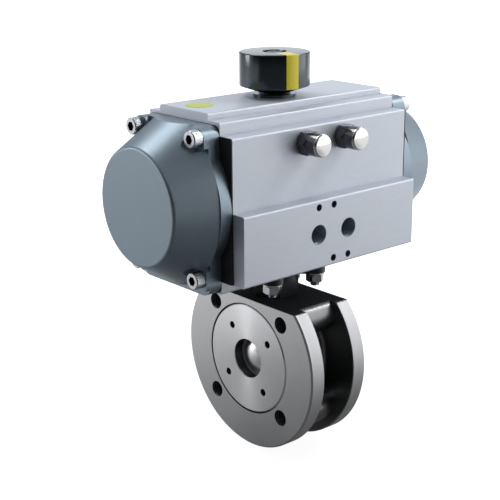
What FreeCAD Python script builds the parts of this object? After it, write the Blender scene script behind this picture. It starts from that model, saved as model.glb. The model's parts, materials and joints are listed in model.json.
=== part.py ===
# Compact flanged ball valve with a spring-return rack and pinion actuator, closed at rest.
# Millimetres. X runs along the pipe, Z up along the stem. The origin is the centre of the
# inlet flange's face on the pipe axis. The front of the actuator, with the air ports, faces -Y.
import FreeCAD, Part
import math
import os
from types import SimpleNamespace

import Sketcher
from FreeCAD import Placement, Rotation, Vector

os.makedirs("parts", exist_ok=True)
doc = FreeCAD.newDocument("pneumatic_ball_valve")
sheet = doc.addObject("Spreadsheet::Sheet", "sizes")

driving = {
    # valve body
    "face_to_face": 45.0,
    "flange_od": 115.0,
    "flange_thick": 10.0,
    "flange_chamfer": 1.0,
    "bolt_circle": 85.0,
    "bolt_core": 10.2,
    "boss_od": 21.0,
    "barrel_od": 66.0,
    "barrel_waist": 62.0,
    "waist_half": 4.0,
    "barrel_root": 3.0,
    "pad_height": 39.0,
    "pad_thick": 10.0,
    "pad_width": 64.0,
    "stem_boss": 44.0,
    # flow passage
    "port": 25.0,
    "ball_od": 38.0,
    "cavity_od": 41.0,
    "cavity_half": 10.6,
    "seat_od": 34.0,
    "seat_id": 26.0,
    "seat_back": 16.0,
    "insert_od": 70.8,
    "insert_head": 6.0,
    "insert_thread": 50.0,
    "insert_groove": 1.4,
    "insert_seal_width": 3.0,
    "insert_seal_thick": 1.2,
    "spanner_circle": 46.5,
    "spanner_hole": 4.6,
    "spanner_depth": 3.5,
    "spanner_turn": 7.0,
    # stem and stuffing box
    "stem_od": 14.0,
    "stem_collar": 19.0,
    "collar_thick": 3.0,
    "tang_width": 8.0,
    "tang_length": 17.0,
    "tang_depth": 5.0,
    "washer_thick": 1.0,
    "square": 11.0,
    "square_reach": 16.0,
    "housing_thread": 24.0,
    "housing_reach": 7.0,
    "housing_seal_thick": 1.0,
    "housing_seal_width": 4.0,
    "housing_hex": 27.0,
    "housing_hex_height": 10.0,
    "housing_body": 32.0,
    "housing_lip": 2.0,
    "packing_od": 21.0,
    "packing_ring": 3.0,
    "gland_height": 4.0,
    "disc_spring_thick": 1.4,
    "nut_recess": 24.0,
    "nut_recess_depth": 11.0,
    "stem_nut_hex": 19.0,
    "stem_nut_height": 4.5,
    # mounting of the actuator
    "stand_off": 21.0,
    "mount_circle": 50.0,
    "ear_width": 13.0,
    "ear_thick": 7.5,
    "stud": 6.0,
    "stud_reach": 10.0,
    "stud_end": 2.6,
    "mount_washer": 12.0,
    "mount_washer_thick": 1.2,
    "mount_nut_hex": 10.0,
    "mount_nut_height": 5.0,
    # actuator housing
    "housing_length": 137.0,
    "gasket_thick": 0.8,
    "gasket_edge": 4.0,
    "bore_rise": 50.4,
    "cylinder_bore": 75.0,
    "top_rise": 51.1,
    "top_width": 43.2,
    "shoulder_rise": 47.2,
    "shoulder_width": 63.0,
    "ledge_rise": 40.0,
    "main_width": 84.0,
    "pad_face": 51.1,
    "pad_top": -1.6,
    "pad_foot": 42.4,
    "corner": 1.2,
    # valve pad on the front
    "air_port": 11.8,
    "air_port_depth": 12.0,
    "air_side": 12.0,
    "air_drop": 21.9,
    "air_way": 6.0,
    "side_way": 4.0,
    "side_way_out": 29.0,
    "side_way_down": 31.0,
    "pad_screw": 4.2,
    "pad_screw_depth": 9.0,
    "pad_screw_rise": 16.0,
    # end caps
    "cap_plate": 7.5,
    "cap_ear_width": 64.0,
    "cap_ear_top": 45.6,
    "cap_ear_foot": 50.2,
    "cap_ear_round": 7.0,
    "gasket_ear_round": 5.0,
    "bulge_base": 82.0,
    "bulge_rise": 98.0,
    "bulge_face": 67.4,
    "bulge_length": 26.0,
    "bulge_edge": 2.0,
    "cavity_mouth": 71.0,
    "cavity_floor": 58.0,
    "cap_wall": 4.0,
    "screw_boss": 15.0,
    "screw_pocket": 14.0,
    "screw_boss_rise": 3.0,
    "cap_screw": 6.0,
    "cap_screw_head": 10.0,
    "cap_screw_head_height": 6.0,
    "cap_screw_socket": 5.0,
    "cap_screw_socket_depth": 3.0,
    "cap_screw_grip": 12.0,
    "cap_screw_side": 26.6,
    "cap_screw_rise": 39.7,
    # pistons and racks
    "tooth_module": 2.0,
    "teeth": 14,
    "profile_shift": 0.2,
    "pressure_angle": 20.0,
    "backlash": 0.12,
    "root_gap": 0.5,
    "rack_height": 25.0,
    "rack_back": 30.5,
    "rack_end": 28.8,
    "piston_gap": 30.0,
    "piston_thick": 16.5,
    "piston_slack": 0.2,
    "band_width": 5.0,
    "band_thick": 1.8,
    "band_inset": 2.0,
    "seal_section": 3.2,
    "seal_groove": 4.0,
    "seal_inset": 9.0,
    "shoe_width": 18.0,
    "shoe_length": 22.0,
    "shoe_peg": 6.0,
    "shoe_peg_depth": 3.0,
    "spring_mean": 50.0,
    "spring_wire": 4.6,
    "spring_cup": 5.0,
    "cup_width": 6.4,
    # pinion
    "tooth_face": 29.0,
    "lower_journal": 34.0,
    "lower_bush_wall": 3.0,
    "lower_bush_foot": 6.0,
    "lower_bush_length": 6.5,
    "cam_foot": 22.6,
    "cam_thick": 8.5,
    "cam_disc": 26.0,
    "cam_reach": 18.0,
    "cam_half": 8.0,
    "neck_od": 22.0,
    "upper_bush_wall": 2.0,
    "upper_bush_foot": 42.5,
    "upper_bush_length": 6.1,
    "pinion_seal_depth": 0.5,
    "pinion_seal_width": 3.6,
    "lower_seal_rise": 2.9,
    "upper_seal_rise": 40.0,
    "ring_seat": 15.0,
    "ring_od": 25.0,
    "ring_thick": 2.5,
    "ring_sink": 1.0,
    "circlip_od": 19.0,
    "circlip_thick": 1.0,
    "circlip_groove": 0.8,
    "top_shaft": 12.0,
    "top_flats": 9.0,
    "shaft_rise": 19.0,
    # travel stops
    "stop_side": 15.0,
    "stop_rise": 31.0,
    "stop_screw": 8.0,
    "stop_gap": 0.05,
    "stop_nut_hex": 13.0,
    "stop_nut_height": 6.5,
    "stop_cap_od": 13.5,
    "stop_cap_length": 9.5,
    "stop_cap_wall": 3.0,
    # indicator
    "knob_od": 42.0,
    "knob_height": 20.0,
    "knob_edge": 0.8,
    "knob_taper": 4.0,
    "knob_neck": 17.0,
    "knob_gap": 2.0,
    "knob_recess": 14.0,
    "knob_recess_depth": 2.5,
    "knob_screw": 5.0,
    "knob_screw_head": 9.0,
    "knob_screw_head_height": 2.2,
    "knob_screw_reach": 12.0,
    "knob_screw_slot": 1.2,
    "marker_width": 8.0,
    "marker_thick": 1.5,
    "marker_turn": 12.0,
    # fits
    "thread_gap": 0.02,
    "fit_gap": 0.05,
    "loose_gap": 0.3,
}


class Size:
    # A length that holds its value and the formula that gives it from the sheet.
    def __init__(self, value, text):
        self.value = float(value)
        self.text = text

    def __add__(self, other):
        other = as_size(other)
        return Size(self.value + other.value, f"({self.text} + {other.text})")

    def __sub__(self, other):
        other = as_size(other)
        return Size(self.value - other.value, f"({self.text} - {other.text})")

    def __mul__(self, other):
        other = as_size(other)
        return Size(self.value * other.value, f"({self.text} * {other.text})")

    def __truediv__(self, other):
        other = as_size(other)
        return Size(self.value / other.value, f"({self.text} / {other.text})")

    def __neg__(self):
        return Size(-self.value, f"(0 - {self.text})")

    __radd__ = __add__
    __rmul__ = __mul__


def as_size(number):
    return number if isinstance(number, Size) else Size(number, f"({float(number)})")


for row, (alias, value) in enumerate(driving.items(), 1):
    sheet.set(f"A{row}", alias)
    sheet.set(f"B{row}", str(value))
    sheet.setAlias(f"B{row}", alias)
doc.recompute()
d = SimpleNamespace(**{alias: Size(value, f"sizes.{alias}") for alias, value in driving.items()})

# Places along the pipe, from the inlet face.
stem_x = d.face_to_face / 2
far_flange = d.face_to_face - d.flange_thick
insert_end = stem_x - d.cavity_half
bolt_side = d.bolt_circle / (2 * math.sqrt(2))

# Heights up the stem, from the pipe axis.
mount_height = d.pad_height + d.stand_off
square_top = mount_height + d.square_reach
collar_foot = d.ball_od / 2 + d.fit_gap
collar_top = collar_foot + d.collar_thick
washer_top = collar_top + d.washer_thick
housing_foot = d.pad_height - d.housing_reach
seal_foot = housing_foot - d.housing_seal_thick
packing_foot = housing_foot + d.housing_lip
packing_top = packing_foot + 3 * d.packing_ring
gland_top = packing_top + d.gland_height
springs_top = gland_top + 2 * d.disc_spring_thick
nut_top = springs_top + d.stem_nut_height
stud_side = d.mount_circle / (2 * math.sqrt(2))
washer_foot = mount_height - d.ear_thick - d.mount_washer_thick
mount_nut_foot = washer_foot - d.mount_nut_height
bore_z = mount_height + d.bore_rise
top_z = bore_z + d.top_rise
cam_z = bore_z + d.cam_foot
ring_z = top_z - d.ring_sink
ring_top = ring_z + d.ring_thick
circlip_z = ring_top - d.circlip_thick
shaft_top = top_z + d.shaft_rise
knob_foot = top_z + d.knob_gap
knob_side = knob_foot + d.knob_taper
knob_top = knob_side + d.knob_height
recess_floor = knob_top - d.knob_recess_depth

# Distances along the cylinder, from the stem axis.
body_end = d.housing_length / 2
cap_foot = body_end + d.gasket_thick
cap_face = cap_foot + d.cap_plate
boss_face = cap_face + d.screw_boss_rise
bulge_end = cap_face + d.bulge_length
cap_floor = bulge_end - d.cap_wall
piston_end = d.piston_gap + d.piston_thick
cup_floor = piston_end - d.spring_cup

# The gearing. The rack's reference line is the pitch radius moved out by the profile shift.
pitch_radius = d.tooth_module * d.teeth / 2
reference_line = pitch_radius + d.tooth_module * d.profile_shift
tip_radius = reference_line + d.tooth_module
rack_tip = reference_line - d.tooth_module
rack_root = tip_radius + d.root_gap
tooth_pitch = d.tooth_module * math.pi
half_tooth = (tooth_pitch / 2 - d.backlash) / 2

toX = Rotation(Vector(0, 1, 0), 90)
toFront = Rotation(Vector(1, 0, 0), 90)
halfTurn = Rotation(Vector(0, 0, 1), 180)
nodes = []


def bind(thing, prop, size):
    thing.setExpression(prop, as_size(size).text)


def put(thing, x=0, y=0, z=0, rotation=None):
    thing.Placement = Placement(Vector(0, 0, 0), rotation or Rotation())
    for letter, size in (("x", x), ("y", y), ("z", z)):
        bind(thing, f"Placement.Base.{letter}", size)
    return thing


def cylinder(name, od, length, x=0, y=0, z=0, rotation=None):
    thing = doc.addObject("Part::Cylinder", name)
    bind(thing, "Radius", as_size(od) / 2)
    bind(thing, "Height", length)
    return put(thing, x, y, z, rotation)


def box(name, length, width, height, x, y, z, rotation=None):
    thing = doc.addObject("Part::Box", name)
    bind(thing, "Length", length)
    bind(thing, "Width", width)
    bind(thing, "Height", height)
    return put(thing, x, y, z, rotation)


def hexagon(name, across_flats, height, x=0, y=0, z=0, rotation=None):
    thing = doc.addObject("Part::Prism", name)
    thing.Polygon = 6
    bind(thing, "Circumradius", as_size(across_flats) / math.sqrt(3))
    bind(thing, "Height", height)
    return put(thing, x, y, z, rotation)


def torus(name, mean_od, section, x=0, y=0, z=0, rotation=None):
    thing = doc.addObject("Part::Torus", name)
    bind(thing, "Radius1", as_size(mean_od) / 2)
    bind(thing, "Radius2", as_size(section) / 2)
    return put(thing, x, y, z, rotation)


def sphere(name, od, x=0, y=0, z=0):
    thing = doc.addObject("Part::Sphere", name)
    bind(thing, "Radius", as_size(od) / 2)
    return put(thing, x, y, z)


def fuse(name, things):
    if len(things) == 1:
        return things[0]
    thing = doc.addObject("Part::MultiFuse", name)
    thing.Shapes = things
    return thing


def common(name, things):
    thing = doc.addObject("Part::MultiCommon", name)
    thing.Shapes = things
    return thing


def group(name, things):
    thing = doc.addObject("Part::Compound", name)
    thing.Links = things
    return thing


def cut(name, base, tools):
    thing = doc.addObject("Part::Cut", name)
    thing.Base = base
    thing.Tool = fuse(f"{name}_tools", tools)
    return thing


def soften(name, base, kind, size, chosen):
    # Fillet or chamfer of the edges of a piece for which chosen(edge) is true.
    doc.recompute()
    thing = doc.addObject(f"Part::{kind}", name)
    thing.Base = base
    width = as_size(size).value
    found = [i for i, edge in enumerate(base.Shape.Edges, 1) if chosen(edge)]
    if not found:
        raise ValueError(f"{name}: no edge was chosen")
    thing.Edges = [(i, width, width) for i in found]
    return thing


def node(thing, label):
    thing.Label = label
    nodes.append(thing)
    return thing


class Body:
    # A body whose sketches have every corner tied to the origin by a formula from the sheet.
    def __init__(self, name, x=0, y=0, z=0, rotation=None):
        self.body = doc.addObject("PartDesign::Body", name)
        self.body.AllowCompound = True
        self.name = name
        put(self.body, x, y, z, rotation)

    def sketch(self, role, offset=0):
        sketch = self.body.newObject("Sketcher::SketchObject", f"{self.name}_sketch")
        planes = [one for one in self.body.Origin.OriginFeatures if one.Role == role]
        sketch.AttachmentSupport = [(planes[0], "")]
        sketch.MapMode = "FlatFace"
        bind(sketch, "AttachmentOffset.Base.z", offset)
        return sketch

    def add(self, kind, sketch, **values):
        feature = self.body.newObject(f"PartDesign::{kind}", f"{self.name}_{kind.lower()}")
        feature.Profile = sketch
        for prop, value in values.items():
            if isinstance(value, Size):
                bind(feature, prop, value)
            else:
                setattr(feature, prop, value)
        sketch.Visibility = False
        return feature

    def pad(self, sketch, length, back=False, middle=False):
        return self.add("Pad", sketch, Length=as_size(length), Reversed=back, Midplane=middle)

    def turn(self, sketch, axis):
        return self.add("Revolution", sketch, ReferenceAxis=(sketch, [axis]), Angle=360.0)


def tie(sketch, geometry, point, x, y):
    for kind, axis, size in (("DistanceX", -2, as_size(x)), ("DistanceY", -1, as_size(y))):
        if size.value == 0:
            sketch.addConstraint(Sketcher.Constraint("PointOnObject", geometry, point, axis))
        else:
            rule = Sketcher.Constraint(kind, -1, 1, geometry, point, size.value)
            index = sketch.addConstraint(rule)
            sketch.setExpression(f"Constraints[{index}]", size.text)


def outline(sketch, corners):
    points = [Vector(as_size(x).value, as_size(y).value, 0) for x, y in corners]
    count = len(points)
    first = sketch.GeometryCount
    for i in range(count):
        sketch.addGeometry(Part.LineSegment(points[i], points[(i + 1) % count]), False)
    for i in range(count):
        following = first + (i + 1) % count
        sketch.addConstraint(Sketcher.Constraint("Coincident", first + i, 2, following, 1))
    for i, (x, y) in enumerate(corners):
        tie(sketch, first + i, 1, x, y)
    return sketch


def turned(name, corners, axis="V_Axis", x=0, y=0, z=0, rotation=None):
    # A turned piece: its half section, across then up, revolved round one of the sketch's axes.
    body = Body(name, x, y, z, rotation)
    body.turn(outline(body.sketch("XZ_Plane"), corners), axis)
    return body.body


def ring(name, inner, outer, foot, top):
    # A plain ring on the stem axis.
    inside = as_size(inner) / 2
    outside = as_size(outer) / 2
    corners = [(inside, foot), (outside, foot), (outside, top), (inside, top)]
    return turned(name, corners, x=stem_x)


corners4 = [(-1, -1), (1, -1), (-1, 1), (1, 1)]


def make_valve_body():
    # Flanges and waisted barrel turned about the pipe axis, then pad, bosses and bores.
    rim = d.flange_od / 2
    edge = rim - d.flange_chamfer
    wall = d.barrel_od / 2
    waist = d.barrel_waist / 2
    profile = [(0, 0), (0, edge), (d.flange_chamfer, rim), (d.flange_thick, rim)]
    profile += [(d.flange_thick, wall), (stem_x - d.waist_half, waist)]
    profile += [(stem_x + d.waist_half, waist), (far_flange, wall), (far_flange, rim)]
    profile += [(d.face_to_face - d.flange_chamfer, rim), (d.face_to_face, edge)]
    profile += [(d.face_to_face, 0)]
    spool = turned("spool", profile, "H_Axis")
    spool = soften("spool_roots", spool, "Fillet", d.barrel_root, lambda one: (
        one.Curve.TypeId == "Part::GeomCircle" and abs(one.Curve.Radius - wall.value) < 1e-3))
    length = far_flange
    blanks = [spool]
    for side, rise in corners4:
        start = d.flange_thick / 2
        y = bolt_side * side
        blanks.append(cylinder("bolt_boss", d.boss_od, length, start, y, bolt_side * rise, toX))
    blanks.append(cylinder("stem_boss", d.stem_boss, d.pad_height, stem_x))
    pad_foot = d.pad_height - d.pad_thick
    blanks.append(box("top_pad", d.face_to_face, d.pad_width, d.pad_thick, 0, -d.pad_width / 2, pad_foot))
    blank = fuse("valve_blank", blanks)
    tools = [box("flat_top", d.face_to_face, d.flange_od, rim, 0, -rim, d.pad_height)]
    tools.append(cylinder("outlet_bore", d.port, d.face_to_face, stem_x, 0, 0, toX))
    seat_depth = d.seat_back
    tools.append(cylinder("outlet_seat_bore", d.seat_od, seat_depth, stem_x, 0, 0, toX))
    tools.append(cylinder("cavity", d.cavity_od, 2 * d.cavity_half, insert_end, 0, 0, toX))
    tools.append(cylinder("insert_bore", d.insert_thread, insert_end, 0, 0, 0, toX))
    seal_seat = d.insert_head + d.insert_seal_thick
    seal_od = d.insert_thread + 2 * d.insert_seal_width
    tools.append(cylinder("insert_seal_seat", seal_od, seal_seat, 0, 0, 0, toX))
    tools.append(cylinder("insert_seat", d.insert_od, d.insert_head, 0, 0, 0, toX))
    tools.append(cylinder("collar_bore", d.stem_collar + d.loose_gap, washer_top, stem_x))
    tools.append(cylinder("stem_bore", d.stem_od + d.loose_gap, d.pad_height, stem_x))
    depth = d.pad_height - seal_foot
    tools.append(cylinder("housing_bore", d.housing_thread, depth, stem_x, 0, seal_foot))
    for side, rise in corners4:
        y = bolt_side * side
        z = bolt_side * rise
        tools.append(cylinder("bolt_hole", d.bolt_core, d.face_to_face, 0, y, z, toX))
    node(cut("valve_body_cut", blank, tools), "valve_body")


def make_insert():
    head = d.insert_od / 2 - d.fit_gap
    groove = head - d.insert_groove
    spigot = d.insert_thread / 2 - d.thread_gap
    bore = d.port / 2
    pocket = d.seat_od / 2
    seat_z = stem_x - d.seat_back
    profile = [(0, bore), (0, groove), (d.insert_groove, head), (d.insert_head, head)]
    profile += [(d.insert_head, spigot), (insert_end, spigot), (insert_end, pocket)]
    profile += [(seat_z, pocket), (seat_z, bore)]
    blank = turned("insert_blank", profile, "H_Axis")
    holes = []
    for quarter in range(4):
        angle = math.radians(45 + 90 * quarter + driving["spanner_turn"])
        y = d.spanner_circle * (math.cos(angle) / 2)
        z = d.spanner_circle * (math.sin(angle) / 2)
        holes.append(cylinder("spanner_hole", d.spanner_hole, d.spanner_depth, 0, y, z, toX))
    node(cut("insert_cut", blank, holes), "body_insert")
    seal_top = d.insert_head + d.insert_seal_thick
    inside = d.insert_thread / 2
    outside = inside + d.insert_seal_width - d.thread_gap
    profile = [(d.insert_head, inside), (d.insert_head, outside), (seal_top, outside), (seal_top, inside)]
    node(turned("insert_seal_turned", profile, "H_Axis"), "insert_seal")


def make_seat(name, side):
    # A seat ring bored to the ball, side -1 at the inlet and 1 at the outlet.
    inside = d.seat_id / 2
    outside = d.seat_od / 2 - d.fit_gap
    near = d.cavity_half * side
    back = d.seat_back * side
    profile = [(near, inside), (near, outside), (back, outside), (back, inside)]
    blank = turned(f"{name}_blank", profile, "H_Axis", stem_x)
    ball = sphere(f"{name}_ball", d.ball_od + 2 * d.fit_gap, stem_x)
    node(cut(f"{name}_cut", blank, [ball]), name)


def make_ball_and_stem():
    ball = sphere("ball_blank", d.ball_od, stem_x)
    reach = d.ball_od / 2
    port = cylinder("ball_port", d.port, d.ball_od, stem_x, reach, 0, toFront)
    slot_foot = d.ball_od / 2 - d.tang_depth - d.fit_gap
    slot_width = d.tang_width + 2 * d.fit_gap
    slot = box("ball_slot", d.ball_od, slot_width, d.ball_od, stem_x - reach, -slot_width / 2, slot_foot)
    node(cut("ball_cut", ball, [port, slot]), "ball")
    tang_foot = d.ball_od / 2 - d.tang_depth
    tang = box("tang", d.tang_length, d.tang_width, collar_top - tang_foot,
               stem_x - d.tang_length / 2, -d.tang_width / 2, tang_foot)
    collar = cylinder("collar", d.stem_collar, d.collar_thick, stem_x, 0, collar_foot)
    shank = cylinder("shank", d.stem_od, nut_top - collar_foot, stem_x, 0, collar_foot)
    square = box("stem_square", d.square, d.square, square_top - collar_foot,
                 stem_x - d.square / 2, -d.square / 2, collar_foot)
    round_bar = cylinder("stem_bar", d.stem_od, square_top - collar_foot, stem_x, 0, collar_foot)
    top = common("stem_top", [square, round_bar])
    node(fuse("stem_fused", [tang, collar, shank, top]), "stem")
    bore = d.stem_od + 2 * d.thread_gap
    node(ring("washer_ring", bore, d.stem_collar, collar_top, washer_top), "stem_thrust_washer")


def make_stem_housing():
    spigot = d.housing_thread - 2 * d.thread_gap
    reach = mount_height - housing_foot
    hex_top = d.pad_height + d.housing_hex_height
    blanks = [cylinder("housing_spigot", spigot, reach, stem_x, 0, housing_foot)]
    blanks.append(hexagon("housing_hexagon", d.housing_hex, d.housing_hex_height, stem_x, 0, d.pad_height))
    height = mount_height - hex_top
    blanks.append(cylinder("housing_round", d.housing_body, height, stem_x, 0, hex_top))
    ear_foot = mount_height - d.ear_thick
    half = d.ear_width / 2
    for turn in (45, 135):
        arm = Body(f"ears_{turn}", stem_x, 0, ear_foot, Rotation(Vector(0, 0, 1), turn))
        out = d.mount_circle / 2
        bar = [(-out, -half), (out, -half), (out, half), (-out, half)]
        arm.pad(outline(arm.sketch("XY_Plane"), bar), d.ear_thick)
        blanks.append(arm.body)
    for side, depth in corners4:
        x = stem_x + stud_side * side
        blanks.append(cylinder("ear", d.ear_width, d.ear_thick, x, stud_side * depth, ear_foot))
    tools = [cylinder("gland_bore", d.stem_od + d.loose_gap, reach, stem_x, 0, housing_foot)]
    tools.append(cylinder("packing_bore", d.packing_od, reach, stem_x, 0, packing_foot))
    nut_floor = mount_height - d.nut_recess_depth
    tools.append(cylinder("nut_bore", d.nut_recess, d.nut_recess_depth, stem_x, 0, nut_floor))
    for side, depth in corners4:
        x = stem_x + stud_side * side
        hole = d.stud + 2 * d.fit_gap
        tools.append(cylinder("stud_hole", hole, d.ear_thick, x, stud_side * depth, ear_foot))
    node(cut("housing_cut", fuse("housing_blank", blanks), tools), "stem_housing")

    shank = d.stem_od + 2 * d.thread_gap
    outer = d.packing_od - 2 * d.thread_gap
    loose = d.stem_od + d.loose_gap
    inner = d.housing_thread - 2 * d.housing_seal_width
    node(ring("housing_seal_ring", inner, spigot, seal_foot, housing_foot), "housing_seal")
    rings = []
    for i in range(3):
        foot = packing_foot + i * d.packing_ring
        rings.append(ring(f"packing_{i}", shank, outer, foot, foot + d.packing_ring))
    node(group("packing_stack", rings), "packing_rings")
    node(ring("gland_ring_turned", loose, outer, packing_top, gland_top), "gland_ring")
    cones = []
    for i in range(2):
        foot = gland_top + i * d.disc_spring_thick
        top = foot + d.disc_spring_thick
        cones.append(ring(f"disc_spring_{i}", loose, outer, foot, top))
    node(group("disc_spring_stack", cones), "disc_springs")
    nut = hexagon("stem_nut_hexagon", d.stem_nut_hex, d.stem_nut_height, stem_x, 0, springs_top)
    hole = cylinder("stem_nut_thread", shank, d.stem_nut_height, stem_x, 0, springs_top)
    node(cut("stem_nut_cut", nut, [hole]), "stem_nut")


def make_mounting():
    studs = []
    nuts = []
    washers = []
    stud_foot = mount_nut_foot - d.stud_end
    stud_length = mount_height + d.stud_reach - stud_foot
    hole = d.stud + 2 * d.thread_gap
    for side, depth in corners4:
        x = stem_x + stud_side * side
        y = stud_side * depth
        studs.append(cylinder("stud", d.stud, stud_length, x, y, stud_foot))
        nut = hexagon("stud_nut", d.mount_nut_hex, d.mount_nut_height, x, y, mount_nut_foot)
        thread = cylinder("stud_nut_thread", hole, d.mount_nut_height, x, y, mount_nut_foot)
        nuts.append(cut("stud_nut_cut", nut, [thread]))
        disc = cylinder("stud_washer", d.mount_washer, d.mount_washer_thick, x, y, washer_foot)
        bore = cylinder("stud_washer_bore", hole, d.mount_washer_thick, x, y, washer_foot)
        washers.append(cut("stud_washer_cut", disc, [bore]))
    node(group("studs", studs), "mount_studs")
    node(group("stud_nuts", nuts), "mount_nuts")
    node(group("stud_washers", washers), "mount_washers")


def housing_section():
    # The extrusion's section, across (front negative) and up from the bore axis.
    foot = -d.bore_rise
    shoulder = d.shoulder_width / 2
    main = d.main_width / 2
    top = d.top_width / 2
    lower = -d.pad_foot
    section = [(-shoulder, foot), (shoulder, foot), (shoulder, lower), (main, lower)]
    section += [(main, d.ledge_rise), (shoulder, d.ledge_rise), (shoulder, d.shoulder_rise)]
    section += [(top, d.shoulder_rise), (top, d.top_rise), (-top, d.top_rise)]
    section += [(-top, d.shoulder_rise), (-shoulder, d.shoulder_rise), (-shoulder, d.ledge_rise)]
    section += [(-main, d.ledge_rise), (-main, d.pad_top), (-d.pad_face, d.pad_top)]
    section += [(-d.pad_face, lower), (-shoulder, lower)]
    return section


def extrusion():
    body = Body("extrusion", stem_x, 0, bore_z)
    body.pad(outline(body.sketch("YZ_Plane", -body_end), housing_section()), d.housing_length)
    return soften("extrusion_rounds", body.body, "Fillet", d.corner, lambda one: (
        abs(one.BoundBox.XLength - d.housing_length.value) < 1e-3 and is_outer_corner(one)))


def is_outer_corner(edge):
    # True at the corners of the section that stand out, and not at its inner corners.
    inner = [(d.shoulder_width, d.ledge_rise), (d.top_width, d.shoulder_rise)]
    inner.append((d.shoulder_width, -d.pad_foot))
    y = abs(edge.BoundBox.Center.y)
    z = edge.BoundBox.Center.z - bore_z.value
    for width, rise in inner:
        if abs(y - width.value / 2) < 1e-3 and abs(z - rise.value) < 1e-3:
            return False
    on_front = edge.BoundBox.Center.y < 0
    return not (on_front and abs(y - d.main_width.value / 2) < 1e-3 and abs(z - d.pad_top.value) < 1e-3)


def make_actuator_housing():
    blank = extrusion()
    front = -d.pad_face
    length = d.housing_length
    tools = [cylinder("bore", d.cylinder_bore, length, stem_x - body_end, 0, bore_z, toX)]
    lower_bore = d.lower_journal + 2 * d.lower_bush_wall
    tools.append(cylinder("lower_bush_bore", lower_bore, d.bore_rise, stem_x, 0, mount_height))
    upper_bore = d.neck_od + 2 * d.upper_bush_wall
    bush_top = d.upper_bush_foot + d.upper_bush_length
    tools.append(cylinder("upper_bush_bore", upper_bore, bush_top, stem_x, 0, bore_z))
    tools.append(cylinder("neck_bore", d.neck_od + d.loose_gap, d.top_rise, stem_x, 0, bore_z))
    ring_bore = d.ring_od + 2 * d.fit_gap
    tools.append(cylinder("ring_seat_bore", ring_bore, d.ring_sink, stem_x, 0, ring_z))
    for side in (-1, 1):
        x = stem_x + d.air_side * side
        port_z = bore_z - d.air_drop
        floor = front + d.air_port_depth
        tools.append(cylinder("air_port_hole", d.air_port, d.air_port_depth, x, floor, port_z, toFront))
        stop_x = stem_x + d.stop_side * side
        stop_z = bore_z + d.stop_rise
        hole = d.stop_screw + 2 * d.thread_gap
        tools.append(cylinder("stop_hole", hole, d.main_width / 2, stop_x, 0, stop_z, toFront))
        way_y = d.side_way_out * side
        way_z = bore_z - d.side_way_down
        tools.append(cylinder("side_channel", d.side_way, length, stem_x - body_end, way_y, way_z, toX))
    straight = cylinder("air_way", d.air_way, d.air_port_depth, stem_x - d.air_side,
                        front + 2 * d.air_port_depth, bore_z - d.air_drop, toFront)
    tools.append(straight)
    across = (d.pad_face - d.air_port_depth - d.side_way_out).value
    down = (d.side_way_down - d.air_drop).value
    lean = Rotation(Vector(0, 0, 1), Vector(0, -across, down))
    way_length = as_size(math.hypot(across, down) + d.side_way.value / 2)
    tools.append(cylinder("side_way_hole", d.side_way, way_length, stem_x + d.air_side,
                          -d.side_way_out, bore_z - d.side_way_down, lean))
    holes = [(-1, 1), (0, 1), (0, -1), (1, -1)]
    for side, rise in holes:
        x = stem_x + d.air_side * side
        z = bore_z - d.air_drop + d.pad_screw_rise * rise
        floor = front + d.pad_screw_depth
        tools.append(cylinder("pad_screw_hole", d.pad_screw, d.pad_screw_depth, x, floor, z, toFront))
    for side, depth in corners4:
        x = stem_x + stud_side * side
        hole = d.stud + 2 * d.thread_gap
        tools.append(cylinder("stud_thread", hole, d.stud_reach, x, stud_side * depth, mount_height))
    grip = d.cap_screw_grip
    for start in (-body_end, body_end - grip):
        for side, rise in corners4:
            y = d.cap_screw_side * side
            z = bore_z + d.cap_screw_rise * rise
            hole = d.cap_screw + 2 * d.thread_gap
            tools.append(cylinder("cap_thread", hole, grip, stem_x + start, y, z, toX))
    node(cut("actuator_cut", blank, tools), "actuator_body")


def make_gasket(name, side):
    # A flat gasket over the main section and the ears of the cap.
    start = body_end if side > 0 else -cap_foot
    ear = d.shoulder_width / 2
    main = d.main_width / 2
    lower = -d.pad_foot
    foot = -d.cap_ear_foot
    corners = [(-ear, foot), (ear, foot), (ear, lower), (main, lower), (main, d.ledge_rise)]
    corners += [(ear, d.ledge_rise), (ear, d.cap_ear_top), (-ear, d.cap_ear_top), (-ear, d.ledge_rise)]
    corners += [(-main, d.ledge_rise), (-main, lower), (-ear, lower)]
    body = Body(f"{name}_blank", stem_x, 0, bore_z)
    body.pad(outline(body.sketch("YZ_Plane", start), corners), d.gasket_thick)
    ends = [bore_z + d.cap_ear_top, bore_z - d.cap_ear_foot]
    blank = soften(f"{name}_ears", body.body, "Fillet", d.gasket_ear_round, lambda one: (
        one.BoundBox.YLength < 1e-3 and any(abs(one.BoundBox.Center.z - end.value) < 1e-3 for end in ends)))
    blank = soften(f"{name}_rounds", blank, "Fillet", d.corner, lambda one: (
        abs(one.BoundBox.XLength - d.gasket_thick.value) < 1e-3
        and abs(abs(one.BoundBox.Center.y) - main.value) < 1e-3))
    x = stem_x + start
    opening = d.main_width - 2 * d.gasket_edge
    tools = [cylinder("gasket_hole", opening, d.gasket_thick, x, 0, bore_z, toX)]
    for across in (-1, 1):
        y = d.side_way_out * across
        z = bore_z - d.side_way_down
        tools.append(cylinder("gasket_way", d.side_way, d.gasket_thick, x, y, z, toX))
        for rise in (-1, 1):
            y = d.cap_screw_side * across
            z = bore_z + d.cap_screw_rise * rise
            hole = d.cap_screw + 2 * d.fit_gap
            tools.append(cylinder("gasket_screw", hole, d.gasket_thick, x, y, z, toX))
    node(cut(f"{name}_cut", blank, tools), name)


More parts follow.
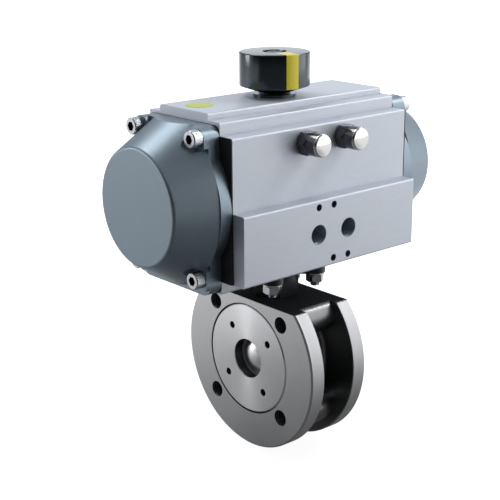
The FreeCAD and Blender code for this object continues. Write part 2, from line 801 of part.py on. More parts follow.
def make_cap(name, turn):
    # An end cap, drawn at the +X end and turned half round the stem for the other.
    body = Body(f"{name}_plate", stem_x, 0, bore_z, turn)
    half = d.cap_ear_width / 2
    foot = -d.cap_ear_foot
    corners = [(-half, foot), (half, foot), (half, d.cap_ear_top), (-half, d.cap_ear_top)]
    body.pad(outline(body.sketch("YZ_Plane", cap_foot), corners), d.cap_plate + d.screw_boss_rise)
    tall = d.cap_plate + d.screw_boss_rise
    plate = soften(f"{name}_corners", body.body, "Fillet", d.cap_ear_round, lambda one: (
        abs(one.BoundBox.XLength - tall.value) < 1e-3))

    def place(thing, reach, y=0, z=0):
        # Sets a piece of the +X cap at reach from the stem and turns it with the cap.
        sign = -1 if turn else 1
        thing.Placement.Rotation = (turn or Rotation()) * thing.Placement.Rotation
        bind(thing, "Placement.Base.x", stem_x + sign * as_size(reach))
        bind(thing, "Placement.Base.y", sign * as_size(y))
        bind(thing, "Placement.Base.z", bore_z + z)
        return thing

    def along(label, od, length, reach, y=0, z=0):
        return place(cylinder(label, od, length, rotation=toX), reach, y, z)

    posts = []
    holes = []
    for side, rise in corners4:
        y = d.cap_screw_side * side
        z = d.cap_screw_rise * rise
        posts.append(along("cap_boss", d.screw_boss, tall, cap_foot, y, z))
        hole = d.cap_screw + 2 * d.fit_gap
        holes.append(along("cap_hole", hole, bulge_end - cap_foot, cap_foot, y, z))
        holes.append(along("cap_pocket", d.screw_pocket, d.bulge_length, boss_face, y, z))
    flat = doc.addObject("Part::Box", "cap_level")
    bind(flat, "Length", d.cap_plate)
    bind(flat, "Width", d.cap_ear_width)
    bind(flat, "Height", 2 * d.cap_ear_foot)
    place(flat, cap_foot, -half, foot)
    low = common(f"{name}_low", [plate, flat])
    high = common(f"{name}_high", [plate, fuse(f"{name}_posts", posts)])
    disc = along("cap_disc", d.main_width, d.cap_plate, cap_foot)
    # The bulge runs from an ellipse, taller than wide to meet the ears, to the round face.
    oval = doc.addObject("Part::Ellipse", "bulge_foot")
    bind(oval, "MajorRadius", d.bulge_rise / 2)
    bind(oval, "MinorRadius", d.bulge_base / 2)
    oval.Placement = Placement(Vector(0, 0, 0), toX)
    place(oval, cap_face)
    circle = doc.addObject("Part::Circle", "bulge_end")
    bind(circle, "Radius", d.bulge_face / 2)
    circle.Placement = Placement(Vector(0, 0, 0), toX)
    place(circle, bulge_end)
    bulge = doc.addObject("Part::Loft", f"{name}_bulge")
    bulge.Sections = [oval, circle]
    bulge.Solid = True
    bulge.Ruled = True
    dome = soften(f"{name}_dome", bulge, "Fillet", d.bulge_edge, lambda one: (
        abs(abs(one.BoundBox.Center.x - stem_x.value) - bulge_end.value) < 1e-3
        and one.BoundBox.XLength < 1e-3))
    level = doc.addObject("Part::Box", "bulge_level")
    bind(level, "Length", d.bulge_length)
    bind(level, "Width", d.bulge_rise)
    bind(level, "Height", d.cap_ear_foot + d.cap_ear_top)
    place(level, cap_face, -d.bulge_rise / 2, foot)
    shaped = common(f"{name}_shaped", [dome, level])
    blank = fuse(f"{name}_blank", [low, high, disc, shaped])
    cavity = doc.addObject("Part::Cone", "cap_cavity")
    bind(cavity, "Radius1", d.cavity_mouth / 2)
    bind(cavity, "Radius2", d.cavity_floor / 2)
    bind(cavity, "Height", cap_floor - cap_foot)
    cavity.Placement = Placement(Vector(0, 0, 0), toX)
    holes.append(place(cavity, cap_foot))
    for side in (-1, 1):
        angle = math.atan2(-driving["side_way_down"], side * driving["side_way_out"])
        slot = doc.addObject("Part::Box", "cap_way")
        way = math.hypot(driving["side_way_out"], driving["side_way_down"])
        bind(slot, "Length", d.side_way)
        bind(slot, "Width", as_size(way) - d.cavity_mouth / 2 + 2 * d.side_way)
        bind(slot, "Height", d.side_way)
        swing = Rotation(Vector(1, 0, 0), math.degrees(angle) + 180)
        slot.Placement = Placement(Vector(0, 0, 0), swing)
        half_way = d.side_way / 2
        start_y = d.side_way_out * side + half_way * math.cos(angle) + half_way * math.sin(angle)
        start_z = half_way * math.sin(angle) - half_way * math.cos(angle) - d.side_way_down
        place(slot, cap_foot, start_y, start_z)
        holes.append(slot)
    node(cut(f"{name}_cut", blank, holes), name)

    screws = []
    for side, rise in corners4:
        y = d.cap_screw_side * side
        z = d.cap_screw_rise * rise
        start = body_end - d.cap_screw_grip
        shank = along("cap_screw_shank", d.cap_screw, boss_face - start, start, y, z)
        head = along("cap_screw_top", d.cap_screw_head, d.cap_screw_head_height, boss_face, y, z)
        socket = hexagon("cap_screw_key", d.cap_screw_socket, d.cap_screw_socket_depth, rotation=toX)
        top = boss_face + d.cap_screw_head_height
        place(socket, top - d.cap_screw_socket_depth, y, z)
        screws.append(cut("cap_screw_cut", fuse("cap_screw_blank", [shank, head]), [socket]))
    node(group(f"{name}_screws", screws), name.replace("end_cap", "cap_screws"))


def make_stops():
    screws = []
    nuts = []
    caps = []
    face = -d.main_width / 2
    nut_end = face - d.stop_nut_height
    cap_end = nut_end - d.stop_cap_length
    tip = -(d.cam_half + d.stop_gap)
    screw_end = cap_end + d.stop_cap_wall + d.fit_gap
    z = bore_z + d.stop_rise
    hole = d.stop_screw + 2 * d.thread_gap
    for side in (-1, 1):
        x = stem_x + d.stop_side * side
        screws.append(cylinder("stop_bar", d.stop_screw, tip - screw_end, x, tip, z, toFront))
        nut = hexagon("stop_hexagon", d.stop_nut_hex, d.stop_nut_height, x, face, z, toFront)
        thread = cylinder("stop_nut_thread", hole, d.stop_nut_height, x, face, z, toFront)
        nuts.append(cut("stop_nut_cut", nut, [thread]))
        dome = cylinder("stop_dome", d.stop_cap_od, d.stop_cap_length, x, nut_end, z, toFront)
        dome = soften("stop_dome_edge", dome, "Fillet", 1, lambda one: (
            abs(one.BoundBox.Center.y - cap_end.value) < 1e-3 and one.BoundBox.YLength < 1e-3))
        depth = d.stop_cap_length - d.stop_cap_wall
        bore = cylinder("stop_cap_thread", hole, depth, x, nut_end, z, toFront)
        caps.append(cut("stop_cap_cut", dome, [bore]))
    node(group("stop_bars", screws), "stop_screws")
    node(group("stop_hexagons", nuts), "stop_lock_nuts")
    node(group("stop_domes", caps), "stop_caps")


def involute(x):
    return math.tan(x) - x


def pinion_teeth():
    # Involute flanks as arcs through three points, a tooth space centred at the front and back.
    module = driving["tooth_module"]
    count = driving["teeth"]
    pressure = math.radians(driving["pressure_angle"])
    pitch = pitch_radius.value
    base = pitch * math.cos(pressure)
    root = rack_tip.value - driving["root_gap"]
    tip = tip_radius.value
    thick = module * (math.pi / 2 + 2 * driving["profile_shift"] * math.tan(pressure))

    def half_angle(radius):
        turn = math.acos(min(1.0, base / radius))
        return thick / (2 * pitch) + involute(pressure) - involute(turn)

    def point(radius, angle):
        return Vector(radius * math.cos(angle), radius * math.sin(angle), 0)

    edges = []
    step = 2 * math.pi / count
    middle = (base + tip) / 2
    wide = half_angle(base)
    for i in range(count):
        centre = math.pi / 2 + (i + 0.5) * step
        right = [point(radius, centre - half_angle(radius)) for radius in (base, middle, tip)]
        left = [point(radius, centre + half_angle(radius)) for radius in (tip, middle, base)]
        edges.append(Part.LineSegment(point(root, centre - wide), right[0]).toShape())
        edges.append(Part.Arc(*right).toShape())
        edges.append(Part.Arc(right[2], point(tip, centre), left[0]).toShape())
        edges.append(Part.Arc(*left).toShape())
        edges.append(Part.LineSegment(left[2], point(root, centre + wide)).toShape())
        next_start = centre + step - wide
        gap = point(root, centre + step / 2)
        edges.append(Part.Arc(point(root, centre + wide), gap, point(root, next_start)).toShape())
    face = Part.Face(Part.Wire(Part.sortEdges(edges)[0]))
    teeth = doc.addObject("Part::Feature", "pinion_teeth")
    teeth.Shape = face.extrude(Vector(0, 0, driving["tooth_face"]))
    return put(teeth, stem_x, 0, bore_z - d.tooth_face / 2)


def make_pinion():
    foot = mount_height + d.fit_gap
    teeth_foot = bore_z - d.tooth_face / 2
    teeth_top = bore_z + d.tooth_face / 2
    neck_top = ring_z
    parts = [pinion_teeth()]
    parts.append(cylinder("lower_shaft", d.lower_journal, teeth_foot - foot, stem_x, 0, foot))
    cam_end = cam_z + d.cam_thick
    parts.append(cylinder("pinion_waist", d.neck_od, cam_z - teeth_top, stem_x, 0, teeth_top))
    parts.append(cylinder("cam_disc", d.cam_disc, d.cam_thick, stem_x, 0, cam_z))
    parts.append(box("cam_right", d.cam_reach, 2 * d.cam_half, d.cam_thick, stem_x, -d.cam_half, cam_z))
    parts.append(box("cam_back", 2 * d.cam_half, d.cam_reach, d.cam_thick, stem_x - d.cam_half, 0, cam_z))
    parts.append(cylinder("upper_neck", d.neck_od, neck_top - cam_end, stem_x, 0, cam_end))
    parts.append(cylinder("ring_neck", d.ring_seat, ring_top - neck_top, stem_x, 0, neck_top))
    bar = cylinder("top_bar", d.top_shaft, shaft_top - ring_top, stem_x, 0, ring_top)
    half = d.top_flats / 2
    flats = box("top_flat_box", d.top_shaft, d.top_flats, shaft_top - ring_top,
                stem_x - d.top_shaft / 2, -half, ring_top)
    parts.append(common("top_flats_bar", [bar, flats]))
    blank = fuse("pinion_blank", parts)
    play = 2 * d.fit_gap
    side = d.square + play
    height = square_top + 1 - foot
    square = box("pinion_square", side, side, height, stem_x - side / 2, -side / 2, foot)
    socket = cylinder("pinion_socket", d.stem_od + play, height, stem_x, 0, foot)
    tools = [common("square_socket", [square, socket])]
    reach = d.knob_screw_reach
    thread = d.knob_screw + 2 * d.thread_gap
    tools.append(cylinder("pinion_thread", thread, reach, stem_x, 0, shaft_top - reach))
    outer = [(d.lower_journal, mount_height + d.lower_seal_rise), (d.neck_od, bore_z + d.upper_seal_rise)]
    for journal, middle in outer:
        low = middle - d.pinion_seal_width / 2
        high = middle + d.pinion_seal_width / 2
        tools.append(ring("seal_groove", journal - 2 * d.pinion_seal_depth, journal + 2, low, high))
    groove = d.ring_seat - 2 * d.circlip_groove
    tools.append(ring("clip_groove", groove, d.ring_seat + 2, circlip_z, ring_top))
    node(cut("pinion_cut", blank, tools), "pinion")

    clip = ring("clip_ring", groove + 2 * d.thread_gap, d.circlip_od, circlip_z, ring_top)
    gap = box("clip_gap", d.circlip_od, 4, d.circlip_thick, stem_x, -2, circlip_z)
    node(cut("clip_cut", clip, [gap]), "pinion_circlip")
    disc = ring("thrust_ring", d.ring_seat + play, d.ring_od, ring_z, ring_top)
    seat = cylinder("thrust_ring_seat", d.circlip_od + play, d.circlip_thick, stem_x, 0, circlip_z)
    node(cut("thrust_ring_cut", disc, [seat]), "pinion_ring")


def make_pinion_bearings():
    play = 2 * d.fit_gap
    wall = 2 * d.lower_bush_wall
    foot = mount_height + d.lower_bush_foot
    top = foot + d.lower_bush_length
    bush = d.lower_journal + wall
    node(ring("lower_bush", d.lower_journal + play, bush, foot, top), "pinion_bush_lower")
    foot = bore_z + d.upper_bush_foot
    top = foot + d.upper_bush_length
    bush = d.neck_od + 2 * d.upper_bush_wall
    node(ring("upper_bush", d.neck_od + play, bush, foot, top), "pinion_bush_upper")
    rings = [("lower", d.lower_journal, d.lower_bush_wall, mount_height + d.lower_seal_rise)]
    rings.append(("upper", d.neck_od, d.upper_bush_wall, bore_z + d.upper_seal_rise))
    for name, journal, wall, middle in rings:
        inner = journal / 2 - d.pinion_seal_depth + d.fit_gap
        outer = journal / 2 + wall - d.thread_gap
        made = torus(f"{name}_seal", inner + outer, outer - inner, stem_x, 0, middle)
        node(made, f"pinion_seal_{name}")


def make_piston(name, turn):
    # A piston with its rack, drawn for the +X end: the rack lies at the front and reaches to -X.
    sign = -1 if turn else 1
    crown = d.cylinder_bore / 2 - d.piston_slack
    band_floor = crown - d.band_thick
    seal_floor = crown - d.seal_section + 0.3
    band_in = d.piston_gap + d.band_inset
    band_out = band_in + d.band_width
    seal_in = d.piston_gap + d.seal_inset
    seal_out = seal_in + d.seal_groove
    cup_out = (d.spring_mean + d.cup_width) / 2
    cup_in = (d.spring_mean - d.cup_width) / 2
    profile = [(d.piston_gap, 0), (d.piston_gap, crown), (band_in, crown), (band_in, band_floor)]
    profile += [(band_out, band_floor), (band_out, crown), (seal_in, crown), (seal_in, seal_floor)]
    profile += [(seal_out, seal_floor), (seal_out, crown), (piston_end, crown), (piston_end, cup_out)]
    profile += [(cup_floor, cup_out), (cup_floor, cup_in), (piston_end, cup_in), (piston_end, 0)]
    disc = turned(f"{name}_disc", profile, "H_Axis", stem_x, 0, bore_z, turn)
    rack = Body(f"{name}_rack", stem_x, 0, bore_z, turn)
    lines = rack_outline()
    rack.pad(outline(rack.sketch("XY_Plane"), lines), d.rack_height, middle=True)
    tools = [peg(f"{name}_peg_hole", turn, sign, 2 * d.fit_gap)]
    blank = fuse(f"{name}_blank", [disc, rack.body])
    node(cut(f"{name}_cut", blank, tools), name)

    end = name.replace("piston", "")
    play = d.fit_gap
    band_low = band_floor + play
    bore = d.cylinder_bore / 2 - play
    near = band_in + play
    far = band_out - play
    profile = [(near, band_low), (near, bore), (far, bore), (far, band_low)]
    node(turned(f"{name}_band_turned", profile, "H_Axis", stem_x, 0, bore_z, turn), f"piston_band{end}")
    section = bore - seal_floor - play
    x = stem_x + sign * (seal_in + d.seal_groove / 2)
    mean = bore + seal_floor + play
    node(torus(f"{name}_seal_ring", mean, section, x, 0, bore_z, toX), f"piston_seal{end}")

    along = sign * (-d.rack_end + 1)
    start = stem_x + along if sign > 0 else stem_x + along - d.shoe_length
    depth = d.cylinder_bore / 2 - d.rack_back
    y = -d.cylinder_bore / 2 if sign > 0 else d.rack_back
    bar = box(f"{name}_shoe_box", d.shoe_length, depth, d.shoe_width, start, y, bore_z - d.shoe_width / 2)
    length = d.housing_length
    liner = cylinder(f"{name}_shoe_bore", 2 * bore, length, stem_x - length / 2, 0, bore_z, toX)
    pad = common(f"{name}_shoe_pad", [bar, liner])
    node(fuse(f"{name}_shoe", [pad, peg(f"{name}_peg", turn, sign, 0)]), f"rack_shoe{end}")


def peg(name, turn, sign, play):
    # The shoe's peg, or with play the hole for it in the back of the rack.
    x = stem_x + sign * (d.shoe_length / 2 - d.rack_end + 1)
    depth = d.shoe_peg_depth + play
    foot = d.rack_back - depth
    y = -foot if sign > 0 else foot
    turned_peg = toFront if sign > 0 else toFront.inverted()
    return cylinder(name, d.shoe_peg + play, depth, x, y, bore_z, turned_peg)


def rack_outline():
    # The rack seen from above: its teeth face +Y at the front of the pinion, the back faces -Y.
    slope = math.tan(math.radians(driving["pressure_angle"]))
    flare_tip = half_tooth - d.tooth_module * slope
    flare_root = half_tooth + (d.tooth_module + d.root_gap) * slope
    lines = [(d.piston_gap + 1, -d.rack_back), (d.piston_gap + 1, -rack_root)]
    for tooth in range(2, -5, -1):
        centre = tooth_pitch * tooth
        lines += [(centre + flare_root, -rack_root), (centre + flare_tip, -rack_tip)]
        lines += [(centre - flare_tip, -rack_tip), (centre - flare_root, -rack_root)]
    lines += [(-d.rack_end, -rack_root), (-d.rack_end, -d.rack_back)]
    return lines


def make_spring(name, turn):
    # A return spring as straight octagonal lengths along a helix, with flat first and last turns.
    wire = driving["spring_wire"] / 2
    mean = driving["spring_mean"] / 2
    start = cup_floor.value + wire + driving["thread_gap"]
    end = cap_floor.value - wire - driving["thread_gap"]
    turns = 5.5
    steps = int(12 * turns)
    sections = []
    for i in range(steps + 1):
        angle = 2 * math.pi * turns * i / steps
        share = i / steps
        rise = min(1.0, max(0.0, (share * turns - 0.75) / (turns - 1.5)))
        across = Vector(0, math.cos(angle), math.sin(angle))
        along = Vector(1, 0, 0)
        centre = across * mean + along * (start + (end - start) * rise)
        points = []
        for side in range(8):
            corner = math.pi / 4 * (side + 0.5)
            points.append(centre + across * (wire * math.cos(corner)) + along * (wire * math.sin(corner)))
        sections.append(Part.makePolygon(points + [points[0]]))
    spring = doc.addObject("Part::Feature", f"{name}_coil")
    spring.Shape = Part.makeLoft(sections, True, True)
    node(put(spring, stem_x, 0, bore_z, turn), name)


def make_indicator():
    wall = d.knob_od / 2
    neck = d.knob_neck / 2
    rounded = wall - d.knob_edge
    shoulder = knob_top - d.knob_edge
    profile = [(0, knob_foot), (neck, knob_foot), (wall, knob_side), (wall, shoulder)]
    profile += [(rounded, knob_top), (0, knob_top)]
    play = 2 * d.fit_gap
    recess = d.knob_recess_depth

    def marker_bar(name):
        turn = Rotation(Vector(0, 0, 1), -driving["marker_turn"])
        body = Body(name, stem_x, 0, 0, turn)
        inner = d.knob_recess / 2 + 1
        inlay = wall - d.marker_thick
        deep = knob_top - d.marker_thick
        corners = [(-wall - 1, knob_side), (-inlay, knob_side), (-inlay, deep), (-inner, deep)]
        corners += [(-inner, knob_top + 1), (-wall - 1, knob_top + 1)]
        body.pad(outline(body.sketch("YZ_Plane"), corners), d.marker_width, middle=True)
        return body.body

    blank = turned("knob_blank", profile, x=stem_x)
    tools = [marker_bar("marker_slot")]
    tools.append(cylinder("knob_top_recess", d.knob_recess, recess, stem_x, 0, recess_floor))
    height = shaft_top - knob_foot
    bar = cylinder("knob_bore", d.top_shaft + play, height, stem_x, 0, knob_foot)
    width = d.top_flats + play
    length = d.top_shaft + play
    flats = box("knob_flats", length, width, height, stem_x - length / 2, -width / 2, knob_foot)
    tools.append(common("knob_drive", [bar, flats]))
    tools.append(cylinder("knob_screw_bore", d.knob_screw + play, knob_top - shaft_top, stem_x, 0, shaft_top))
    node(cut("knob_cut", blank, tools), "indicator_knob")
    strip = common("marker_common", [turned("marker_blank", profile, x=stem_x), marker_bar("marker_shape")])
    node(strip, "indicator_marker")
    reach = d.knob_screw_reach - 1
    shank_foot = shaft_top - reach
    shank = cylinder("knob_screw_shank", d.knob_screw, recess_floor - shank_foot, stem_x, 0, shank_foot)
    head_height = d.knob_screw_head_height
    head = cylinder("knob_screw_top", d.knob_screw_head, head_height, stem_x, 0, recess_floor)
    half = d.knob_screw_slot / 2
    slot_foot = recess_floor + head_height - d.knob_screw_slot
    slot = box("knob_screw_key", d.knob_screw_head, d.knob_screw_slot, d.knob_screw_slot,
               stem_x - d.knob_screw_head / 2, -half, slot_foot)
    node(cut("knob_screw_cut", fuse("knob_screw_blank", [shank, head]), [slot]), "indicator_screw")


make_valve_body()
make_insert()
make_seat("inlet_seat", -1)
make_seat("outlet_seat", 1)
make_ball_and_stem()
make_stem_housing()
make_mounting()
make_actuator_housing()
for end, side, turn in (("left", -1, halfTurn), ("right", 1, None)):
    make_gasket(f"end_gasket_{end}", side)
    make_cap(f"end_cap_{end}", turn)
    make_piston(f"piston_{end}", turn)
    make_spring(f"spring_{end}", turn)
make_stops()
make_pinion()
make_pinion_bearings()
make_indicator()
doc.recompute()

faulty = [one.Label for one in doc.Objects if "Invalid" in one.State or "Error" in one.State]
for thing in nodes:
    if thing.Shape.isNull() or not thing.Shape.isValid() or not thing.Shape.Solids:
        faulty.append(thing.Label)
if faulty:
    raise ValueError(f"these did not come out sound: {faulty}")
for thing in nodes:
    thing.Shape.exportStep(f"parts/{thing.Label}.step")
    print(f"{thing.Label}: {len(thing.Shape.Solids)} solids, {thing.Shape.Volume:.0f} mm3")
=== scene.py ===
import json
import math
import bmesh
import bpy
import numpy as np
from mathutils import Matrix, Vector


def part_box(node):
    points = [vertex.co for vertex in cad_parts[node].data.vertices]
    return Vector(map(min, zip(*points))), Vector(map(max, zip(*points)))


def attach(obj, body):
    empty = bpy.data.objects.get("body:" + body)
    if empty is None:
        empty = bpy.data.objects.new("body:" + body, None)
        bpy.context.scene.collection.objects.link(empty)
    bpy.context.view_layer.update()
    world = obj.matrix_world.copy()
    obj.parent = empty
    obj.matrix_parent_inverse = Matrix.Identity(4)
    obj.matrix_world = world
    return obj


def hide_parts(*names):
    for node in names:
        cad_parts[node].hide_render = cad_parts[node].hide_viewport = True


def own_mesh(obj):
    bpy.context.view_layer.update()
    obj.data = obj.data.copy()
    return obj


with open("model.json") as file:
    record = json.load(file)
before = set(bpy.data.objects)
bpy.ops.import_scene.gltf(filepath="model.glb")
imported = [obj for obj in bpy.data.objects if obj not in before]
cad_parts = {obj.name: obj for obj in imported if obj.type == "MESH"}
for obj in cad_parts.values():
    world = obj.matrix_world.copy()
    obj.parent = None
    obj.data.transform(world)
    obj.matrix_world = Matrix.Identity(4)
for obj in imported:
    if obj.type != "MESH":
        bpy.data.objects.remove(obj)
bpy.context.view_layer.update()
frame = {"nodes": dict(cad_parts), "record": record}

scene = bpy.context.scene
nodes = frame["nodes"]
print("frame loaded:", len(nodes), "nodes")

cameraSet = {
    "place": (-0.4377, -0.5066, 0.2714),
    "yaw": 40.99,            # degrees from +Y towards +X
    "pitch": 16.73,          # degrees below level
    "roll": -0.34,
    "focal": 83.45,          # mm
    "sensor": 36.0,          # mm
    "clip": (0.05, 20.0),    # nearest and farthest, m
}


def makeCamera(values):
    # The camera is rolled, tilted down from level and turned from +Y before it goes to its place
    data = bpy.data.cameras.new("photoCamera")
    data.lens = values["focal"]
    data.sensor_width = values["sensor"]
    data.clip_start, data.clip_end = values["clip"]
    camera = bpy.data.objects.new("photoCamera", data)
    scene.collection.objects.link(camera)
    turn = Matrix.Rotation(-math.radians(values["yaw"]), 4, "Z")
    tilt = Matrix.Rotation(math.radians(90 - values["pitch"]), 4, "X")
    lean = Matrix.Rotation(math.radians(values["roll"]), 4, "Z")
    camera.matrix_world = Matrix.Translation(Vector(values["place"])) @ turn @ tilt @ lean
    scene.camera = camera


makeCamera(cameraSet)
print("camera placed")


def mathNode(tree, operation, first, second=None, third=None):
    node = tree.nodes.new("ShaderNodeMath")
    node.operation = operation
    for index, value in enumerate((first, second, third)):
        if value is None:
            continue
        if isinstance(value, (int, float)):
            node.inputs[index].default_value = value
        else:
            tree.links.new(value, node.inputs[index])
    return node.outputs[0]


def splitVector(tree, vector):
    # Its X, Y and Z by name
    parts = tree.nodes.new("ShaderNodeSeparateXYZ")
    tree.links.new(vector, parts.inputs[0])
    return parts.outputs


def newMaterial(name):
    # The material, its tree, its shader and the object's own coordinates
    material = bpy.data.materials.new(name)
    material.use_nodes = True
    tree = material.node_tree
    coords = tree.nodes.new("ShaderNodeTexCoord").outputs["Object"]
    return material, tree, tree.nodes["Principled BSDF"], coords


stageSet = {
    "floorZ": -0.0578,
    "floorSize": 6.0,
    "floorRough": 0.8,
    "floorGlow": 0.95,       # the floor's own brightness to the camera, over the light that falls on it
    "floorShadeTone": 0.08,       # the floor's colour at the front left, dark as painted shade
    "floorLightSteps": (("X", 0.05, 0.4, 0.45), ("Y", -0.04, 0.3, 0.38)),  # axis, from, to in m, tone added as painted light to the right and back
    "skyTone": 0.02,         # the sky at the left, and its steps by the direction looked in
    "skySteps": (("X", 0.48, 0.62, 0.6), ("Y", 0.35, 0.55, 0.48), ("Z", 0.2, 1.0, 0.32)),
    "skyTint": (0.88, 0.94, 1.0),
}


def toneField(tree, coords, base, steps):
    # The base tone, and for each step its amount more once the axis has gone over its span
    parts = splitVector(tree, coords)
    tone = base
    for axis, start, end, amount in steps:
        ramp = tree.nodes.new("ShaderNodeMapRange")
        ramp.interpolation_type = "SMOOTHSTEP"
        for index, value in enumerate((start, end, 0.0, amount), 1):
            ramp.inputs[index].default_value = value
        tree.links.new(parts[axis], ramp.inputs[0])
        tone = mathNode(tree, "ADD", ramp.outputs[0], tone)
    return tone


def makeSky(values):
    # White to the camera, and for light and reflections dark on the left and bright on the right
    world = bpy.data.worlds.new("studioWorld")
    scene.world = world
    world.use_nodes = True
    tree = world.node_tree
    coords = tree.nodes.new("ShaderNodeTexCoord")
    shaded = tree.nodes["Background"]
    tone = toneField(tree, coords.outputs["Generated"], values["skyTone"], values["skySteps"])
    tree.links.new(tone, shaded.inputs["Strength"])
    shaded.inputs["Color"].default_value = (*values["skyTint"], 1)
    path = tree.nodes.new("ShaderNodeLightPath")
    white = tree.nodes.new("ShaderNodeBackground")
    white.inputs["Color"].default_value = (1, 1, 1, 1)
    mix = tree.nodes.new("ShaderNodeMixShader")
    tree.links.new(path.outputs["Is Camera Ray"], mix.inputs[0])
    tree.links.new(shaded.outputs[0], mix.inputs[1])
    tree.links.new(white.outputs[0], mix.inputs[2])
    tree.links.new(mix.outputs[0], tree.nodes["World Output"].inputs["Surface"])


def makeFloor(values):
    # One square under the part. The camera sees it white. Its colour is painted light and shade, dark at
    # the front left and brighter to the right and back, and metal and gloss show it in that tone.
    half = values["floorSize"] / 2
    corners = [(half * x, half * y, values["floorZ"]) for x, y in ((-1, -1), (1, -1), (1, 1), (-1, 1))]
    mesh = bpy.data.meshes.new("floorPlane")
    mesh.from_pydata(corners, [], [(0, 1, 2, 3)])
    floor = bpy.data.objects.new("floorPlane", mesh)
    scene.collection.objects.link(floor)
    material, tree, shader, coords = newMaterial("floorWhite")
    # Painted light and shade: the floor's colour is dark at the front left and steps up to the right and
    # back
    tone = toneField(tree, coords, values["floorShadeTone"], values["floorLightSteps"])
    tree.links.new(tone, shader.inputs["Base Color"])
    shader.inputs["Roughness"].default_value = values["floorRough"]
    shader.inputs["Emission Color"].default_value = (1, 1, 1, 1)
    seen = tree.nodes.new("ShaderNodeLightPath").outputs
    mirrored = mathNode(tree, "MAXIMUM", seen["Is Glossy Ray"], seen["Is Transmission Ray"])
    shown = mathNode(tree, "MULTIPLY_ADD", mirrored, tone, seen["Is Camera Ray"])
    glow = mathNode(tree, "MULTIPLY", shown, values["floorGlow"])
    tree.links.new(glow, shader.inputs["Emission Strength"])
    mesh.materials.append(material)


lampSet = {
    "aim": (0.02, 0.0, 0.08),
    "lamps": {
        "keyLamp": {"place": (1.05, -1.08, 0.5), "power": 15.0, "size": (2.0, 1.6)},
        "backLamp": {"place": (-0.1, 0.6, 1.2), "power": 4.2, "size": (0.5, 0.5)},
        "topLamp": {"place": (0.84, -0.45, 0.95), "power": 3.2, "size": (0.25, 0.25)},
        "edgeLamp": {"place": (-1.0, 1.15, 0.3), "power": 3.6, "size": (0.5, 0.5)},
    },
}


def makeLamps(values):
    # Each lamp is a rectangle in m that faces the same point on the part
    for name, lampValues in values["lamps"].items():
        data = bpy.data.lights.new(name, "AREA")
        data.energy = lampValues["power"]
        data.shape = "RECTANGLE"
        data.size, data.size_y = lampValues["size"]
        lamp = bpy.data.objects.new(name, data)
        scene.collection.objects.link(lamp)
        lamp.location = lampValues["place"]
        sight = Vector(values["aim"]) - Vector(lampValues["place"])
        lamp.rotation_euler = sight.to_track_quat("-Z", "Y").to_euler()


makeSky(stageSet)
makeFloor(stageSet)
makeLamps(lampSet)
print("stage and lamps made")

grainSet = {
    "fineDetail": 2.0,
    "driftScale": 28.0,
    "driftDetail": 4.0,
    "noiseRough": 0.55,
    "speckle": 0.12,         # how far the fine grain moves the tone
    "marksAlong": 0.4,       # how far the tool marks change along the pipe
}


def newGroup(name, inputs, outputs):
    # A node group from the names and kinds of its sockets, with what goes in and what comes out
    group = bpy.data.node_groups.new(name, "ShaderNodeTree")
    for side, sockets in (("INPUT", inputs), ("OUTPUT", outputs)):
        for label, kind in sockets.items():
            group.interface.new_socket(name=label, in_out=side, socket_type="NodeSocket" + kind)
    return group, group.nodes.new("NodeGroupInput").outputs, group.nodes.new("NodeGroupOutput").inputs


def noiseNode(tree, vector, scale, detail):
    node = tree.nodes.new("ShaderNodeTexNoise")
    node.inputs["Detail"].default_value = detail
    node.inputs["Roughness"].default_value = grainSet["noiseRough"]
    if isinstance(scale, (int, float)):
        node.inputs["Scale"].default_value = scale
    else:
        tree.links.new(scale, node.inputs["Scale"])
    tree.links.new(vector, node.inputs["Vector"])
    return node.outputs["Fac"]


def makeGrainGroup(values):
    # Fine grain for height and tone, with broad drifts of tone and gloss over it. Along X below 1 draws
    # the grain out into lines, as on an extrusion.
    inputs = {"Vector": "Vector", "Scale": "Float", "Along X": "Float", "Tone": "Color", "Drift": "Float",
              "Rough Low": "Float", "Rough High": "Float"}
    outputs = {"Color": "Color", "Roughness": "Float", "Height": "Float"}
    group, given, result = newGroup("surfaceGrain", inputs, outputs)
    parts = splitVector(group, given["Vector"])
    drawn = group.nodes.new("ShaderNodeCombineXYZ")
    shrunk = mathNode(group, "MULTIPLY", parts["X"], given["Along X"])
    group.links.new(shrunk, drawn.inputs["X"])
    group.links.new(parts["Y"], drawn.inputs["Y"])
    group.links.new(parts["Z"], drawn.inputs["Z"])
    fine = noiseNode(group, drawn.outputs[0], given["Scale"], values["fineDetail"])
    broad = noiseNode(group, given["Vector"], values["driftScale"], values["driftDetail"])
    swing = mathNode(group, "SUBTRACT", broad, 0.5)
    gain = mathNode(group, "MULTIPLY_ADD", swing, given["Drift"], 1.0)
    speck = mathNode(group, "SUBTRACT", fine, 0.5)
    speckled = mathNode(group, "MULTIPLY_ADD", speck, values["speckle"], gain)
    scaled = group.nodes.new("ShaderNodeVectorMath")
    scaled.operation = "SCALE"
    group.links.new(given["Tone"], scaled.inputs[0])
    group.links.new(speckled, scaled.inputs["Scale"])
    group.links.new(scaled.outputs[0], result["Color"])
    span = mathNode(group, "SUBTRACT", given["Rough High"], given["Rough Low"])
    rough = mathNode(group, "MULTIPLY_ADD", broad, span, given["Rough Low"])
    group.links.new(rough, result["Roughness"])
    group.links.new(fine, result["Height"])
    return group


